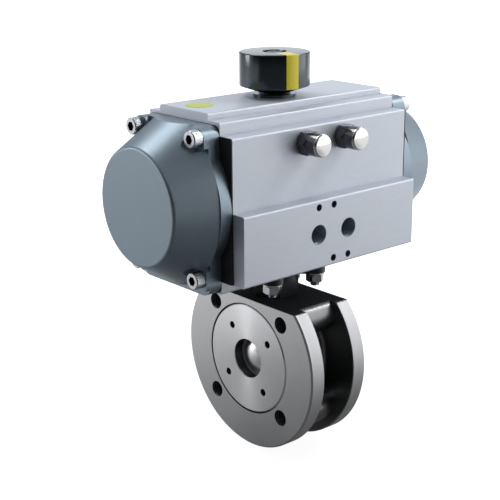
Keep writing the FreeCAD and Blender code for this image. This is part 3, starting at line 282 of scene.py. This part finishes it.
def makeLatheGroup(values):
    # Concentric tool marks: noise along the distance from the pipe axis, the root of Y squared plus Z
    # squared
    inputs = {"Vector": "Vector", "Scale": "Float"}
    group, given, result = newGroup("latheMarks", inputs, {"Marks": "Float", "Radius": "Float"})
    parts = splitVector(group, given["Vector"])
    squareY = mathNode(group, "MULTIPLY", parts["Y"], parts["Y"])
    squareSum = mathNode(group, "MULTIPLY_ADD", parts["Z"], parts["Z"], squareY)
    radius = mathNode(group, "SQRT", squareSum)
    joined = group.nodes.new("ShaderNodeCombineXYZ")
    group.links.new(radius, joined.inputs["X"])
    along = mathNode(group, "MULTIPLY", parts["X"], values["marksAlong"])
    group.links.new(along, joined.inputs["Y"])
    marks = noiseNode(group, joined.outputs[0], given["Scale"], values["fineDetail"])
    group.links.new(marks, result["Marks"])
    group.links.new(radius, result["Radius"])
    return group


grainGroup = makeGrainGroup(grainSet)
latheGroup = makeLatheGroup(grainSet)


def addGroupNode(tree, coords, group, values):
    # A group in a material's tree, its values set on its own sockets
    node = tree.nodes.new("ShaderNodeGroup")
    node.node_tree = group
    tree.links.new(coords, node.inputs["Vector"])
    for label, value in values.items():
        node.inputs[label].default_value = value
    return node.outputs


def addGrain(tree, coords, values):
    roughLow, roughHigh = values["rough"]
    return addGroupNode(tree, coords, grainGroup, {
        "Scale": values["scale"], "Along X": values.get("alongX", 1.0), "Tone": (*values["tone"], 1),
        "Drift": values["drift"], "Rough Low": roughLow, "Rough High": roughHigh})


def addBump(tree, shader, height, distance):
    bump = tree.nodes.new("ShaderNodeBump")
    bump.inputs["Distance"].default_value = distance
    tree.links.new(height, bump.inputs["Height"])
    tree.links.new(bump.outputs[0], shader.inputs["Normal"])


def mixColour(tree, factor, first, second):
    node = tree.nodes.new("ShaderNodeMix")
    node.data_type = "RGBA"
    tree.links.new(factor, node.inputs[0])
    for index, value in ((6, first), (7, second)):  # the sockets A and B for colours
        if isinstance(value, tuple):
            node.inputs[index].default_value = value
        else:
            tree.links.new(value, node.inputs[index])
    return node.outputs[2]


# A finish has a colour, the scale and drift of its grain, its least and most roughness, how metallic it
# is and the height of its grain in m. The housing's grain is drawn out, and the knob's gloss is bluish.
finishes = {
    "housingSilver": {"tone": (0.63, 0.665, 0.73), "scale": 2200.0, "alongX": 0.08, "drift": 0.08,
                      "rough": (0.40, 0.50), "metal": 0.36, "bump": 0.00002},
    "capSilver": {"tone": (0.25, 0.31, 0.36), "scale": 1500.0, "drift": 0.14, "rough": (0.34, 0.46),
                  "metal": 0.7, "bump": 0.00005},
    "gasketBlack": {"tone": (0.012, 0.012, 0.013), "scale": 1200.0, "drift": 0.2, "rough": (0.5, 0.7),
                    "metal": 0.0, "bump": 0.00003},
    "housingBlack": {"tone": (0.009, 0.010, 0.013), "scale": 420.0, "drift": 0.3, "rough": (0.26, 0.38),
                     "metal": 0.0, "bump": 0.00003},
    "stainless": {"tone": (0.55, 0.54, 0.52), "scale": 900.0, "drift": 0.15, "rough": (0.22, 0.38),
                  "metal": 1.0, "bump": 0.00003},
    "nutSteel": {"tone": (0.48, 0.50, 0.53), "scale": 1100.0, "drift": 0.2, "rough": (0.16, 0.28),
                 "metal": 1.0, "bump": 0.00002},
    # Chrome painted dark, as the dark reflections on the stop nuts and the caps' skirts and the shade in
    # their bores
    "chromePaintedDark": {"tone": (0.13, 0.13, 0.14), "scale": 700.0, "drift": 0.1, "rough": (0.08, 0.16),
                   "metal": 1.0, "bump": 0.00001},
    # Dark for the pinion, its circlip and the knob's screw, and painted shade in the screw sockets and
    # the threaded holes
    "shadeAndDarkSteel": {"tone": (0.09, 0.09, 0.10), "scale": 1200.0, "drift": 0.3, "rough": (0.3, 0.5),
                  "metal": 0.9, "bump": 0.00003},
    "brightChrome": {"tone": (0.66, 0.65, 0.64), "scale": 700.0, "drift": 0.06, "rough": (0.06, 0.14),
                     "metal": 1.0, "bump": 0.000008},
    "zincPlate": {"tone": (0.55, 0.56, 0.58), "scale": 1100.0, "drift": 0.12, "rough": (0.16, 0.30),
                  "metal": 1.0, "bump": 0.00002},
    "ballPolish": {"tone": (0.86, 0.86, 0.87), "scale": 500.0, "drift": 0.05, "rough": (0.26, 0.36),
                   "metal": 1.0, "bump": 0.000005},
    "springSteel": {"tone": (0.20, 0.20, 0.22), "scale": 1500.0, "drift": 0.2, "rough": (0.3, 0.45),
                    "metal": 1.0, "bump": 0.00002},
    "sealWhite": {"tone": (0.78, 0.78, 0.75), "scale": 900.0, "drift": 0.06, "rough": (0.4, 0.5),
                  "metal": 0.0, "bump": 0.00001},
    "knobBlack": {"tone": (0.004, 0.004, 0.005), "scale": 900.0, "drift": 0.2, "rough": (0.10, 0.2),
                  "metal": 0.0, "bump": 0.00001, "ior": 1.9, "tint": (0.75, 0.88, 1.0)},
    "markerYellow": {"tone": (0.88, 0.74, 0.025), "scale": 900.0, "drift": 0.06, "rough": (0.3, 0.4),
                     "metal": 0.0, "bump": 0.00001},
    "stickerYellow": {"tone": (0.62, 0.66, 0.10), "scale": 700.0, "drift": 0.1, "rough": (0.35, 0.5),
                      "metal": 0.0, "bump": 0.00001},
}


def grainMaterial(name, values):
    # A finish with one tone, a fine grain and drifts of gloss
    material, tree, shader, coords = newMaterial(name)
    grain = addGrain(tree, coords, values)
    tree.links.new(grain["Color"], shader.inputs["Base Color"])
    tree.links.new(grain["Roughness"], shader.inputs["Roughness"])
    shader.inputs["Metallic"].default_value = values["metal"]
    shader.inputs["IOR"].default_value = values.get("ior", 1.5)
    shader.inputs["Specular Tint"].default_value = (*values.get("tint", (1, 1, 1)), 1)
    addBump(tree, shader, grain["Height"], values["bump"])
    return material


madeOf = {name: grainMaterial(name, values) for name, values in finishes.items()}

flangeSet = {
    "steel": {"tone": (0.60, 0.60, 0.61), "scale": 1400.0, "drift": 0.18, "rough": (0.28, 0.42)},
    "paint": {"tone": (0.009, 0.010, 0.013), "scale": 420.0, "drift": 0.3, "rough": (0.24, 0.36)},
    "faceInset": 0.0004,     # how far the bare metal reaches in from a face, m
    "rimInset": 0.0009,      # and from the flanges' outside
    "rimShadeTone": 0.90,         # the rims' tone against the faces', darker as painted shade
    "rimRough": 0.12,        # and how much rougher they are
    "marks": 2600.0,         # scale of the tool marks
    "marksRough": 0.2,       # what they add to the steel's roughness
    "paintIor": 2.5,
    "specular": 0.5,         # the shader's usual specular level
    "upward": 0.98,          # a face whose normal's Z is over this is a flat that faces up
    "mattRough": 0.7,        # added to the paint's roughness on those flats
    "mattLoss": 0.43,        # and taken there from its specular level
    "bump": 0.00002,
    "paintBump": 0.6,        # the paint's unevenness against the marks'
}


def makeFlangeMaterial(values):
    # Bare turned steel on the flange faces and rims, black paint everywhere else: glossy on the cast
    # sides and matt on the flats that face up. The rims' steel is an even tone darker than the faces', as
    # painted shade.
    material, tree, shader, coords = newMaterial("paintedFlange")
    low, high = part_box("valve_body")
    lathe = addGroupNode(tree, coords, latheGroup, {"Scale": values["marks"]})
    along = splitVector(tree, coords)["X"]
    nearFace = mathNode(tree, "LESS_THAN", along, values["faceInset"])
    farFace = mathNode(tree, "GREATER_THAN", along, high.x - values["faceInset"])
    rim = mathNode(tree, "GREATER_THAN", lathe["Radius"], -low.z - values["rimInset"])
    faces = mathNode(tree, "MAXIMUM", nearFace, farFace)
    bare = mathNode(tree, "MAXIMUM", faces, rim)
    grain = addGrain(tree, coords, values["steel"])
    paint = addGrain(tree, coords, values["paint"])
    # Painted shade: the rims take an even tone darker than the faces' steel
    darker = tuple(channel * values["rimShadeTone"] for channel in values["steel"]["tone"])
    steel = mixColour(tree, faces, (*darker, 1), grain["Color"])
    colour = mixColour(tree, bare, paint["Color"], steel)
    tree.links.new(colour, shader.inputs["Base Color"])
    turned = mathNode(tree, "MULTIPLY_ADD", lathe["Marks"], values["marksRough"], grain["Roughness"])
    steelRough = mathNode(tree, "MULTIPLY_ADD", rim, values["rimRough"], turned)
    facing = tree.nodes.new("ShaderNodeNewGeometry").outputs["True Normal"]
    flat = mathNode(tree, "GREATER_THAN", splitVector(tree, facing)["Z"], values["upward"])
    paintRough = mathNode(tree, "MULTIPLY_ADD", flat, values["mattRough"], paint["Roughness"])
    span = mathNode(tree, "SUBTRACT", steelRough, paintRough)
    rough = mathNode(tree, "MULTIPLY_ADD", span, bare, paintRough)
    tree.links.new(rough, shader.inputs["Roughness"])
    tree.links.new(bare, shader.inputs["Metallic"])
    shader.inputs["IOR"].default_value = values["paintIor"]
    specular = mathNode(tree, "MULTIPLY_ADD", flat, -values["mattLoss"], values["specular"])
    tree.links.new(specular, shader.inputs["Specular IOR Level"])
    height = mathNode(tree, "MULTIPLY", lathe["Marks"], bare)
    uneven = mathNode(tree, "MULTIPLY_ADD", paint["Height"], values["paintBump"], height)
    addBump(tree, shader, uneven, values["bump"])
    return material


insertSet = {
    "steel": {"tone": (0.84, 0.84, 0.85), "scale": 1600.0, "drift": 0.12, "rough": (0.24, 0.34)},
    # painted shade: the steel's colour deep in the port and the spanner holes
    "bore": (0.10, 0.10, 0.11),
    "shadeDepth": 0.0006,     # deeper than this in the port and the spanner holes the steel is painted dark as their shade, m
    "marks": 3600.0,
    "bump": 0.000012,
    "anisotropy": 0.8,
    "anisotropyTurn": 0.25,  # of a whole turn
}


def makeInsertMaterial(values):
    # Turned steel whose gloss is drawn out round the pipe axis, painted dark deep in the port and the
    # spanner holes as their shade
    material, tree, shader, coords = newMaterial("turnedInsert")
    lathe = addGroupNode(tree, coords, latheGroup, {"Scale": values["marks"]})
    grain = addGrain(tree, coords, values["steel"])
    # Painted shade: deep in the port and the spanner holes the steel takes a dark colour
    inside = mathNode(tree, "GREATER_THAN", splitVector(tree, coords)["X"], values["shadeDepth"])
    colour = mixColour(tree, inside, grain["Color"], (*values["bore"], 1))
    tree.links.new(colour, shader.inputs["Base Color"])
    tree.links.new(grain["Roughness"], shader.inputs["Roughness"])
    shader.inputs["Metallic"].default_value = 1.0
    shader.inputs["Anisotropic"].default_value = values["anisotropy"]
    shader.inputs["Anisotropic Rotation"].default_value = values["anisotropyTurn"]
    tangent = tree.nodes.new("ShaderNodeTangent")
    tangent.direction_type = "RADIAL"
    tangent.axis = "X"
    tree.links.new(tangent.outputs[0], shader.inputs["Tangent"])
    addBump(tree, shader, lathe["Marks"], values["bump"])
    return material


madeOf["paintedFlange"] = makeFlangeMaterial(flangeSet)
madeOf["turnedInsert"] = makeInsertMaterial(insertSet)

finishNodes = {
    "paintedFlange": ("valve_body",),
    "turnedInsert": ("body_insert",),
    "housingBlack": ("stem_housing",),
    "housingSilver": ("actuator_body",),
    "capSilver": ("end_cap_left", "end_cap_right", "piston_left", "piston_right"),
    "gasketBlack": ("end_gasket_left", "end_gasket_right", "piston_seal_left", "piston_seal_right",
                    "pinion_seal_lower", "pinion_seal_upper"),
    "knobBlack": ("indicator_knob", "pinion_ring"),
    "markerYellow": ("indicator_marker",),
    "stainless": ("stem", "stem_nut", "gland_ring", "disc_springs"),
    "nutSteel": ("mount_studs", "mount_nuts"),
    "zincPlate": ("mount_washers", "cap_screws_left", "cap_screws_right", "stop_screws"),
    "chromePaintedDark": ("stop_lock_nuts",),
    "brightChrome": ("stop_caps",),
    "shadeAndDarkSteel": ("pinion", "pinion_circlip", "indicator_screw"),
    "ballPolish": ("ball",),
    "springSteel": ("spring_left", "spring_right"),
    "sealWhite": ("insert_seal", "inlet_seat", "outlet_seat", "stem_thrust_washer", "housing_seal",
                  "packing_rings", "pinion_bush_lower", "pinion_bush_upper", "piston_band_left",
                  "piston_band_right", "rack_shoe_left", "rack_shoe_right"),
}
for finish, names in finishNodes.items():
    for name in names:
        nodes[name].data.materials.clear()
        nodes[name].data.materials.append(madeOf[finish])
print("finishes set on", sum(map(len, finishNodes.values())), "nodes")

pieceSet = {
    "merge": 0.000001,       # points nearer than this are one, m
    "shortest": 0.0000001,   # an edge shorter than this goes, m
}


def addPiece(name, grids, body, finish, smooth, inner=None, innerRows=0):
    # Grids of points, all with the same rows and columns, become one mesh: each four neighbours make a
    # face, and the last column meets the first. Merging doubles closes the poles and seams. Edges sharper
    # than smooth, in degrees, stay sharp. The last innerRows rows of faces take the finish named inner.
    points = np.array(grids)
    count, rows, columns = points.shape[:3]
    i, j = np.meshgrid(np.arange(rows - 1), np.arange(columns), indexing="ij")
    following = (j + 1) % columns
    quads = np.stack([i * columns + j, i * columns + following,
                      (i + 1) * columns + following, (i + 1) * columns + j], axis=-1).reshape(-1, 4)
    starts = np.arange(count)[:, None, None] * rows * columns
    mesh = bpy.data.meshes.new(name)
    mesh.from_pydata(points.reshape(-1, 3).tolist(), [], (quads + starts).reshape(-1, 4).tolist())
    mesh.materials.append(madeOf[finish])
    if inner:
        mesh.materials.append(madeOf[inner])
        deep = np.arange(len(quads)) // columns >= rows - 1 - innerRows
        mesh.polygons.foreach_set("material_index", np.tile(deep, count).astype(np.int32))
    work = bmesh.new()
    work.from_mesh(mesh)
    bmesh.ops.remove_doubles(work, verts=work.verts, dist=pieceSet["merge"])
    bmesh.ops.dissolve_degenerate(work, edges=work.edges, dist=pieceSet["shortest"])
    bmesh.ops.recalc_face_normals(work, faces=work.faces)
    work.to_mesh(mesh)
    work.free()
    mesh.shade_smooth()
    mesh.set_sharp_from_angle(angle=math.radians(smooth))
    piece = bpy.data.objects.new(name, mesh)
    scene.collection.objects.link(piece)
    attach(piece, body)
    return piece


def placeAlong(local, centre, axis, spin=0.0):
    # Local points have their axis on z; they are turned so that z lies along the given axis
    direction = Vector(axis).normalized()
    turn = np.array(direction.to_track_quat("Z", "Y").to_matrix())
    angle = math.radians(spin)
    across = math.cos(angle)
    along = math.sin(angle)
    spun = np.array([[across, -along, 0], [along, across, 0], [0, 0, 1]])
    return local @ (turn @ spun).T + np.array(centre)


def turnedForm(profile, columns, rim=None):
    # A profile of (radius, height) carried round z; rim(angle, height, radius) may change the radius
    profile = np.array(profile, dtype=float)
    angle = np.linspace(0, 2 * math.pi, columns, endpoint=False)
    radius = np.repeat(profile[:, :1], columns, axis=1)
    height = np.repeat(profile[:, 1:2], columns, axis=1)
    if rim is not None:
        radius = rim(np.broadcast_to(angle, radius.shape), height, radius)
    return np.stack([radius * np.cos(angle), radius * np.sin(angle), height], axis=-1)


def capEnds(grid):
    # A row of one repeated point is put before and after the grid, so that both ends close
    first = np.broadcast_to(grid[:1].mean(axis=1, keepdims=True), grid[:1].shape)
    last = np.broadcast_to(grid[-1:].mean(axis=1, keepdims=True), grid[-1:].shape)
    return np.concatenate([first, grid, last])


def arcRows(centre, radius, start, end, steps):
    # Points of a rounded edge: centre plus radius times the cosine and sine of equal steps of angle
    angles = np.radians(np.linspace(start, end, steps))
    return [(centre[0] + radius * math.cos(a), centre[1] + radius * math.sin(a)) for a in angles]


def hexRadius(angle, acrossFlats):
    # Distance from the centre to a hexagon's side: half the flats over the cosine inside its sixth
    sixth = math.pi / 3
    inside = np.mod(angle + sixth / 2, sixth) - sixth / 2
    return acrossFlats / 2 / np.cos(inside)


def threadWave(angle, height, pitch):
    # From 0 on a thread's crest to 1 in its groove: half of 1 less the cosine of a turn for each pitch
    # of height, less the angle
    return 0.5 - 0.5 * np.cos(2 * math.pi * height / pitch - angle)


def insetCorners(node, inset, across, up):
    # The four centres of round things whose outer edges touch the corners of a node's box
    low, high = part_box(node)
    spans = [(low[axis] + inset, high[axis] - inset) for axis in (across, up)]
    return [(first, second) for first in spans[0] for second in spans[1]]


screwSet = {
    "head": 0.005,           # radius of the head, m
    "height": 0.006,
    "shank": 0.003,
    "chamfer": 0.0006,
    "knurls": 40,
    "knurlDepth": 0.00014,
    "knurlRows": (0.3, 0.6),  # shares of the head's height
    "land": 0.0034,          # radius of a flat row round the socket
    "socket": 0.005,         # across the socket's flats
    "socketDepth": 0.003,
    "socketPoint": 0.0006,   # how much deeper its middle is
    "socketTurn": 30.0,      # degrees
    "columns": 120,
    "smooth": 30.0,
}


def makeCapScrews(values):
    # A head's rim is its radius less a cosine ripple. A radius of -1 in the profile is the hex socket,
    # whose wall and floor are the last two rows, painted dark as the shade in the socket.
    head = values["head"]
    tall = values["height"]
    cut = values["chamfer"]
    floor = tall - values["socketDepth"]

    def rim(angle, height, radius):
        ripple = values["knurlDepth"] * (0.5 + 0.5 * np.cos(values["knurls"] * angle))
        shaped = np.where(radius > head - cut / 2, radius - ripple, radius)
        return np.where(radius < 0, hexRadius(angle, values["socket"]), shaped)

    for end, sign in (("left", -1), ("right", 1)):
        node = "cap_screws_" + end
        low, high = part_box(node)
        outer = low.x if sign < 0 else high.x
        foot = tall - (high.x - low.x)
        profile = [(0, foot), (values["shank"], foot), (values["shank"], 0), (head, 0)]
        profile += [(head, tall * share) for share in values["knurlRows"]]
        profile += [(head, tall - cut), (head - cut, tall), (values["land"], tall)]
        profile += [(-1, tall), (-1, floor), (0, floor - values["socketPoint"])]
        form = turnedForm(profile, values["columns"], rim)
        turn = sign * values["socketTurn"]
        grids = [placeAlong(form, (outer - sign * tall, y, z), (sign, 0, 0), turn)
                 for y, z in insetCorners(node, head, 1, 2)]
        piece = addPiece(node + "_turned", grids, "housing", "zincPlate", values["smooth"],
                         inner="shadeAndDarkSteel", innerRows=2)
        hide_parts(node)


makeCapScrews(screwSet)
print("cap screws made")

nutSet = {
    "margin": 0.00001,       # how far the chamfer's cone goes outside the corners, m
    "coneStart": 0.96,       # its smallest radius, of half the flats
    "coneRows": 5,
    "columns": 96,
}


def nutForm(flats, height, bore, chamfer):
    # A chamfered hexagon: the smaller of the hexagon's radius and a cone's at each end
    corner = flats / math.sqrt(3) + nutSet["margin"]
    start = flats / 2 * nutSet["coneStart"]
    shares = np.linspace(0, 1, nutSet["coneRows"])
    lower = [(start + (corner - start) * share, chamfer * share) for share in shares]
    upper = [(radius, height - rise) for radius, rise in reversed(lower)]
    mouth = bore + chamfer / 2
    profile = [(bore, chamfer / 2), (mouth, 0), *lower, *upper, (mouth, height)]
    profile += [(bore, height - chamfer / 2), (bore, chamfer / 2)]

    def rim(angle, height, radius):
        return np.minimum(radius, hexRadius(angle, flats))

    return turnedForm(profile, nutSet["columns"], rim)


mountSet = {
    "stud": 0.003,           # radius, m
    "pitch": 0.001,
    "threadDepth": 0.0005,
    "threadEdge": 0.3,       # of a pitch, from each end of the stud to the thread
    "rowsPerTurn": 7,
    "studColumns": 32,
    "gap": 0.00002,          # between stud and nut
    "washer": 0.006,         # radius
    "washerEdge": 0.0002,
    "washerColumns": 48,
    "flats": 0.010,
    "chamfer": 0.0007,
    "smooth": 35.0,
}


def studForm(values, length):
    # A screw thread: the radius less the thread's wave, with both ends taken down to its groove
    crest = values["stud"]
    depth = values["threadDepth"]
    pitch = values["pitch"]
    edge = pitch * values["threadEdge"]
    heights = np.linspace(edge, length - edge, int(length / pitch * values["rowsPerTurn"]))
    profile = [(crest - depth, 0), *((crest, height) for height in heights), (crest - depth, length)]

    def rim(angle, height, radius):
        return radius - depth * threadWave(angle, height, pitch)

    return capEnds(turnedForm(profile, values["studColumns"], rim))


def makeMounting(values):
    # Studs, nuts and washers stand at the corners of the studs' box, each as long as its node is high
    low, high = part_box("mount_studs")
    nutLow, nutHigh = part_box("mount_nuts")
    ringLow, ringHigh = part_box("mount_washers")
    bore = values["stud"] + values["gap"]
    wide = values["washer"]
    edge = values["washerEdge"]
    tall = ringHigh.z - ringLow.z
    profile = [(bore, 0), (wide - edge, 0), (wide, edge), (wide, tall - edge), (wide - edge, tall)]
    washer = turnedForm(profile + [(bore, tall), (bore, 0)], values["washerColumns"])
    stud = studForm(values, high.z - low.z)
    nut = nutForm(values["flats"], nutHigh.z - nutLow.z, bore, values["chamfer"])
    made = [("mount_studs", stud, low.z, "dark_steel", "nutSteel"),
            ("mount_nuts", nut, nutLow.z, "dark_steel", "nutSteel"),
            ("mount_washers", washer, ringLow.z, "zinc_steel", "zincPlate")]
    for node, form, foot, slot, finish in made:
        grids = [placeAlong(form, (x, y, foot), (0, 0, 1))
                 for x, y in insetCorners("mount_studs", values["stud"], 0, 1)]
        piece = addPiece(node + "_turned", grids, "housing", finish, values["smooth"])
        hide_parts(node)


makeMounting(mountSet)
print("mounting studs, nuts and washers made")

stopSet = {
    "flats": 0.013,
    "chamfer": 0.0009,
    "nutTurn": 30.0,         # degrees
    "bore": 0.00402,
    "boreEnd": 0.003,        # from the cap's end to the end of its bore, m
    "cap": 0.00675,          # radius of the cap
    "groove": 0.0003,        # depth of the groove round the skirt, 3 to 5 times this from the foot
    "edge": 0.0014,
    "crown": 0.0007,         # how far the cap's end bulges
    "crownStart": 0.85,      # the crown's first row after the edge, of its radius
    "rows": 7,               # in the edge and in the crown
    "columns": 72,
    "smooth": 35.0,
}


def makeStops(values):
    # A cap is a skirt with a groove, a rounded edge and a crown that falls with the square of the radius.
    # The skirt and the bore are chrome painted dark, as dark reflection and shade, and the edge and the
    # crown bright.
    low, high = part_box("stop_lock_nuts")
    capLow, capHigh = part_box("stop_caps")
    wide = values["cap"]
    long = capHigh.y - capLow.y
    edge = values["edge"]
    bore = values["bore"]
    line = values["groove"]
    deep = long - values["boreEnd"]
    brim = long - values["crown"]
    skirt = [(0, deep), (bore, deep), (bore, 0), (wide - line, 0), (wide, line)]
    skirt += [(wide, 3 * line), (wide - line, 4 * line), (wide, 5 * line)]
    dome = arcRows((wide - edge, brim - edge), edge, 0, 90, values["rows"])
    dome += [((wide - edge) * share, brim + values["crown"] * (1 - share * share))
             for share in np.linspace(values["crownStart"], 0, values["rows"])]
    cap = turnedForm((skirt + dome)[::-1], values["columns"])
    nut = nutForm(values["flats"], high.y - low.y, bore, values["chamfer"])
    height = (capLow.z + capHigh.z) / 2
    # Painted dark reflection: the nuts and the caps' skirts and bores are chrome painted dark
    made = [("stop_lock_nuts", nut, high.y, values["nutTurn"], "chromePaintedDark", None),
            ("stop_caps", cap, capHigh.y, 0.0, "brightChrome", "chromePaintedDark")]
    for node, form, back, spin, finish, inner in made:
        grids = [placeAlong(form, (x, back, height), (0, -1, 0), spin)
                 for x in (capLow.x + wide, capHigh.x - wide)]
        piece = addPiece(node + "_turned", grids, "housing", finish, values["smooth"],
                         inner=inner, innerRows=len(skirt))
        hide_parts(node)


makeStops(stopSet)
print("travel stops made")

springSet = {
    "mean": 0.025,           # radius of the coil's middle line, m
    "wire": 0.0023,          # radius of the wire
    "turns": 5.5,
    "flatTurns": 0.75,       # turns at each end that lie flat
    "grind": 0.0008,         # ground off each end
    "stations": 300,
    "around": 16,
    "travel": 0.022,         # of a piston, from rest to its limit
    "smooth": 50.0,
}


def makeSprings(values):
    # A round wire is carried along a helix whose first and last turns lie flat. The ground ends come
    # from keeping every point between the ends of the node's box.
    wire = values["wire"]
    turn = np.linspace(0, values["turns"], values["stations"])[:, None]
    rise = np.clip((turn - values["flatTurns"]) / (values["turns"] - 2 * values["flatTurns"]), 0, 1)
    side = np.linspace(0, 2 * math.pi, values["around"], endpoint=False)[None, :]
    angle = 2 * math.pi * turn
    radius = values["mean"] + wire * np.cos(side)
    inset = wire - values["grind"]
    for end, sign in (("left", -1), ("right", 1)):
        node = "spring_" + end
        low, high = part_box(node)
        near, far = (high.x, low.x) if sign < 0 else (low.x, high.x)
        reach = high.x - low.x
        middle = (low.z + high.z) / 2
        height = np.clip(inset + (reach - 2 * inset) * rise + wire * np.sin(side), 0, reach)
        coil = [near + sign * height, sign * radius * np.cos(angle), middle + radius * np.sin(angle)]
        piece = addPiece(node + "_coil", [capEnds(np.stack(coil, axis=-1))], "housing",
                         "springSteel", values["smooth"])
        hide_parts(node)
        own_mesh(piece)


makeSprings(springSet)
print("return springs made")

knobSet = {
    "neck": 0.0085,          # radius of the knob's foot, m
    "taper": 0.004,          # height of the cone above it
    "edge": 0.0008,
    "edgeRows": 8,
    "footStart": -50,        # degrees below level at which the lower edge's rounding starts
    "footRows": 5,
    "recess": 0.007,
    "recessDepth": 0.0025,
    "screwRing": 0.0026,     # radius of a row under the screw's head
    "columns": 160,
    "sunk": 0.00003,         # how far the knob's skin lies under the marker's
    "markerHalf": 0.004,
    "markerThick": 0.0015,
    "markerColumns": 9,
    "markerTurn": 12.0,      # degrees clockwise from the front, seen from above
    "smooth": 35.0,
}


def makeKnob(values):
    # A foot, a cone, a side between two rounded edges and a round recess in the top, carried round z
    low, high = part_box("indicator_knob")
    centre = ((low.x + high.x) / 2, (low.y + high.y) / 2, 0.0)
    wide = (high.x - low.x) / 2
    edge = values["edge"]
    rows = values["edgeRows"]
    side = low.z + values["taper"]
    skin = wide - values["sunk"]
    top = high.z - values["sunk"]
    floor = high.z - values["recessDepth"]
    profile = [(0, low.z), (values["neck"], low.z)]
    profile += arcRows((skin - edge, side + edge), edge, values["footStart"], 0, values["footRows"])
    profile += arcRows((skin - edge, top - edge), edge, 0, 90, rows)
    profile += [(values["recess"] + edge / 2, top), (values["recess"], top - edge / 2)]
    profile += [(values["recess"], floor), (values["screwRing"], floor), (0, floor)]
    knob = placeAlong(turnedForm(profile, values["columns"]), centre, (0, 0, 1))
    piece = addPiece("knob_turned", [knob], "rotor", "knobBlack", values["smooth"])
    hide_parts("indicator_knob")

    # The marker follows the knob's side, edge and top: at each station across it, the distance out is
    # the root of the radius squared less the offset squared
    inner = values["recess"] + 2 * edge
    thick = values["markerThick"]
    deep = high.z - thick
    path = [(wide, side), *arcRows((wide - edge, high.z - edge), edge, 0, 90, rows), (inner, high.z)]
    under = [(wide - thick, side), *[(wide - thick, deep)] * rows, (inner, deep)]
    offsets = np.linspace(-values["markerHalf"], values["markerHalf"], values["markerColumns"])

    def strip(points):
        # Rows of points across the marker, one row for each radius and height
        radius, height = np.array(points).T[:, :, None]
        across = np.broadcast_to(offsets, (len(points), len(offsets)))
        out = -np.sqrt(radius ** 2 - offsets ** 2)
        return np.stack([across, out, np.broadcast_to(height, across.shape)], axis=-1)

    spin = Matrix.Rotation(-math.radians(values["markerTurn"]), 3, "Z")
    loops = np.concatenate([strip(path), strip(under)[:, ::-1]], axis=1)
    marker = capEnds(loops) @ np.array(spin).T + np.array(centre)
    piece = addPiece("marker_strip", [marker], "rotor", "markerYellow", values["smooth"])
    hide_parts("indicator_marker")


makeKnob(knobSet)
print("indicator knob made")

holeSet = {
    "port": {"pitch": 0.001337, "depth": 0.0006},
    "screw": {"pitch": 0.0008, "depth": 0.0003, "length": 0.009},
    "bolt": {"pitch": 0.00175, "depth": 0.0006},
    "gap": 0.00001,          # from a sleeve to the hole's wall and ends, m
    "crest": 0.00004,        # from a sleeve's outside to its grooves
    "rowsPerTurn": 6,
    "columns": 40,
    "smooth": 60.0,
}


def threadSleeve(values, thread, hole, length):
    # A thin sleeve in a hole: outside on the hole's wall, inside a thread. A radius of 0 is the inside.
    gap = values["gap"]
    wall = hole - gap
    pitch = thread["pitch"]
    heights = np.linspace(pitch / 2, length - pitch / 2, int(length / pitch * values["rowsPerTurn"]))
    profile = [(wall, gap), *((0, height) for height in heights), (wall, length - gap), (wall, gap)]

    def rim(angle, height, radius):
        ripple = 1 - threadWave(angle, height, pitch)
        return np.where(radius == 0, wall - values["crest"] - thread["depth"] * ripple, radius)

    return turnedForm(profile, values["columns"], rim)


def makeThreads(values):
    # The holes' places and radii come from the mounts, and the flange's threads go from face to face. The
    # sleeves are painted darker than the metal round them, as the shade in the holes.
    millimetre = 0.001
    mounts = {mount["name"]: mount for mount in frame["record"]["mounts"]}
    port, pad, flange = (mounts[name]["dims"] for name in (
        "air_port_open", "pad_screws_upper", "inlet_flange"))
    reach = mounts["outlet_flange"]["pos_m"][0]
    ports = [mounts[name]["pos_m"] for name in ("air_port_open", "air_port_vent")]
    screws = []
    for name in ("pad_screws_upper", "pad_screws_lower"):
        x, y, z = mounts[name]["pos_m"]
        half = mounts[name]["dims"]["spacing_x_mm"] * millimetre / 2
        screws += [(x - half, y, z), (x + half, y, z)]
    side = flange["pcd_mm"] * millimetre / (2 * math.sqrt(2))
    bolts = [(0.0, side * a, side * b) for a in (-1, 1) for b in (-1, 1)]
    portSleeve = threadSleeve(values, values["port"], port["r_mm"] * millimetre,
                              port["length_mm"] * millimetre)
    screwSleeve = threadSleeve(values, values["screw"], pad["hole_r_mm"] * millimetre,
                               values["screw"]["length"])
    boltSleeve = threadSleeve(values, values["bolt"], flange["hole_r_mm"] * millimetre, reach)
    # Painted shade: the port sleeves take the caps' darker silver, and the screw and bolt sleeves take a
    # dark steel colour
    made = [("air_port_threads", portSleeve, ports, (0, 1, 0), "anodised_aluminium", "capSilver"),
            ("pad_screw_threads", screwSleeve, screws, (0, 1, 0), "anodised_aluminium", "shadeAndDarkSteel"),
            ("flange_threads", boltSleeve, bolts, (1, 0, 0), "machined_steel", "shadeAndDarkSteel")]
    for name, form, spots, axis, slot, finish in made:
        grids = [placeAlong(form, spot, axis) for spot in spots]
        addPiece(name, grids, "housing", finish, values["smooth"])


makeThreads(holeSet)
print("threads made in the holes")

stickerSet = {
    "radius": 0.00825,
    "thick": 0.0002,
    "place": (-0.032, 0.003),
    "edgeRows": 4,
    "flat": 0.8,             # a row in the flat top, of the radius
    "columns": 72,
    "smooth": 35.0,
}


def makeSticker(values):
    # A flat disc with a rounded edge on the top plate
    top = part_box("actuator_body")[1].z
    wide = values["radius"]
    thick = values["thick"]
    profile = [(0, 0), (wide, 0), *arcRows((wide - thick, 0), thick, 0, 90, values["edgeRows"])]
    profile += [(wide * values["flat"], thick), (0, thick)]
    disc = placeAlong(turnedForm(profile, values["columns"]), (*values["place"], top), (0, 0, 1))
    addPiece("sticker_disc", [disc], "housing", "stickerYellow", values["smooth"])


makeSticker(stickerSet)
print("sticker made")

scene.view_settings.view_transform = "Standard"
print("finished")
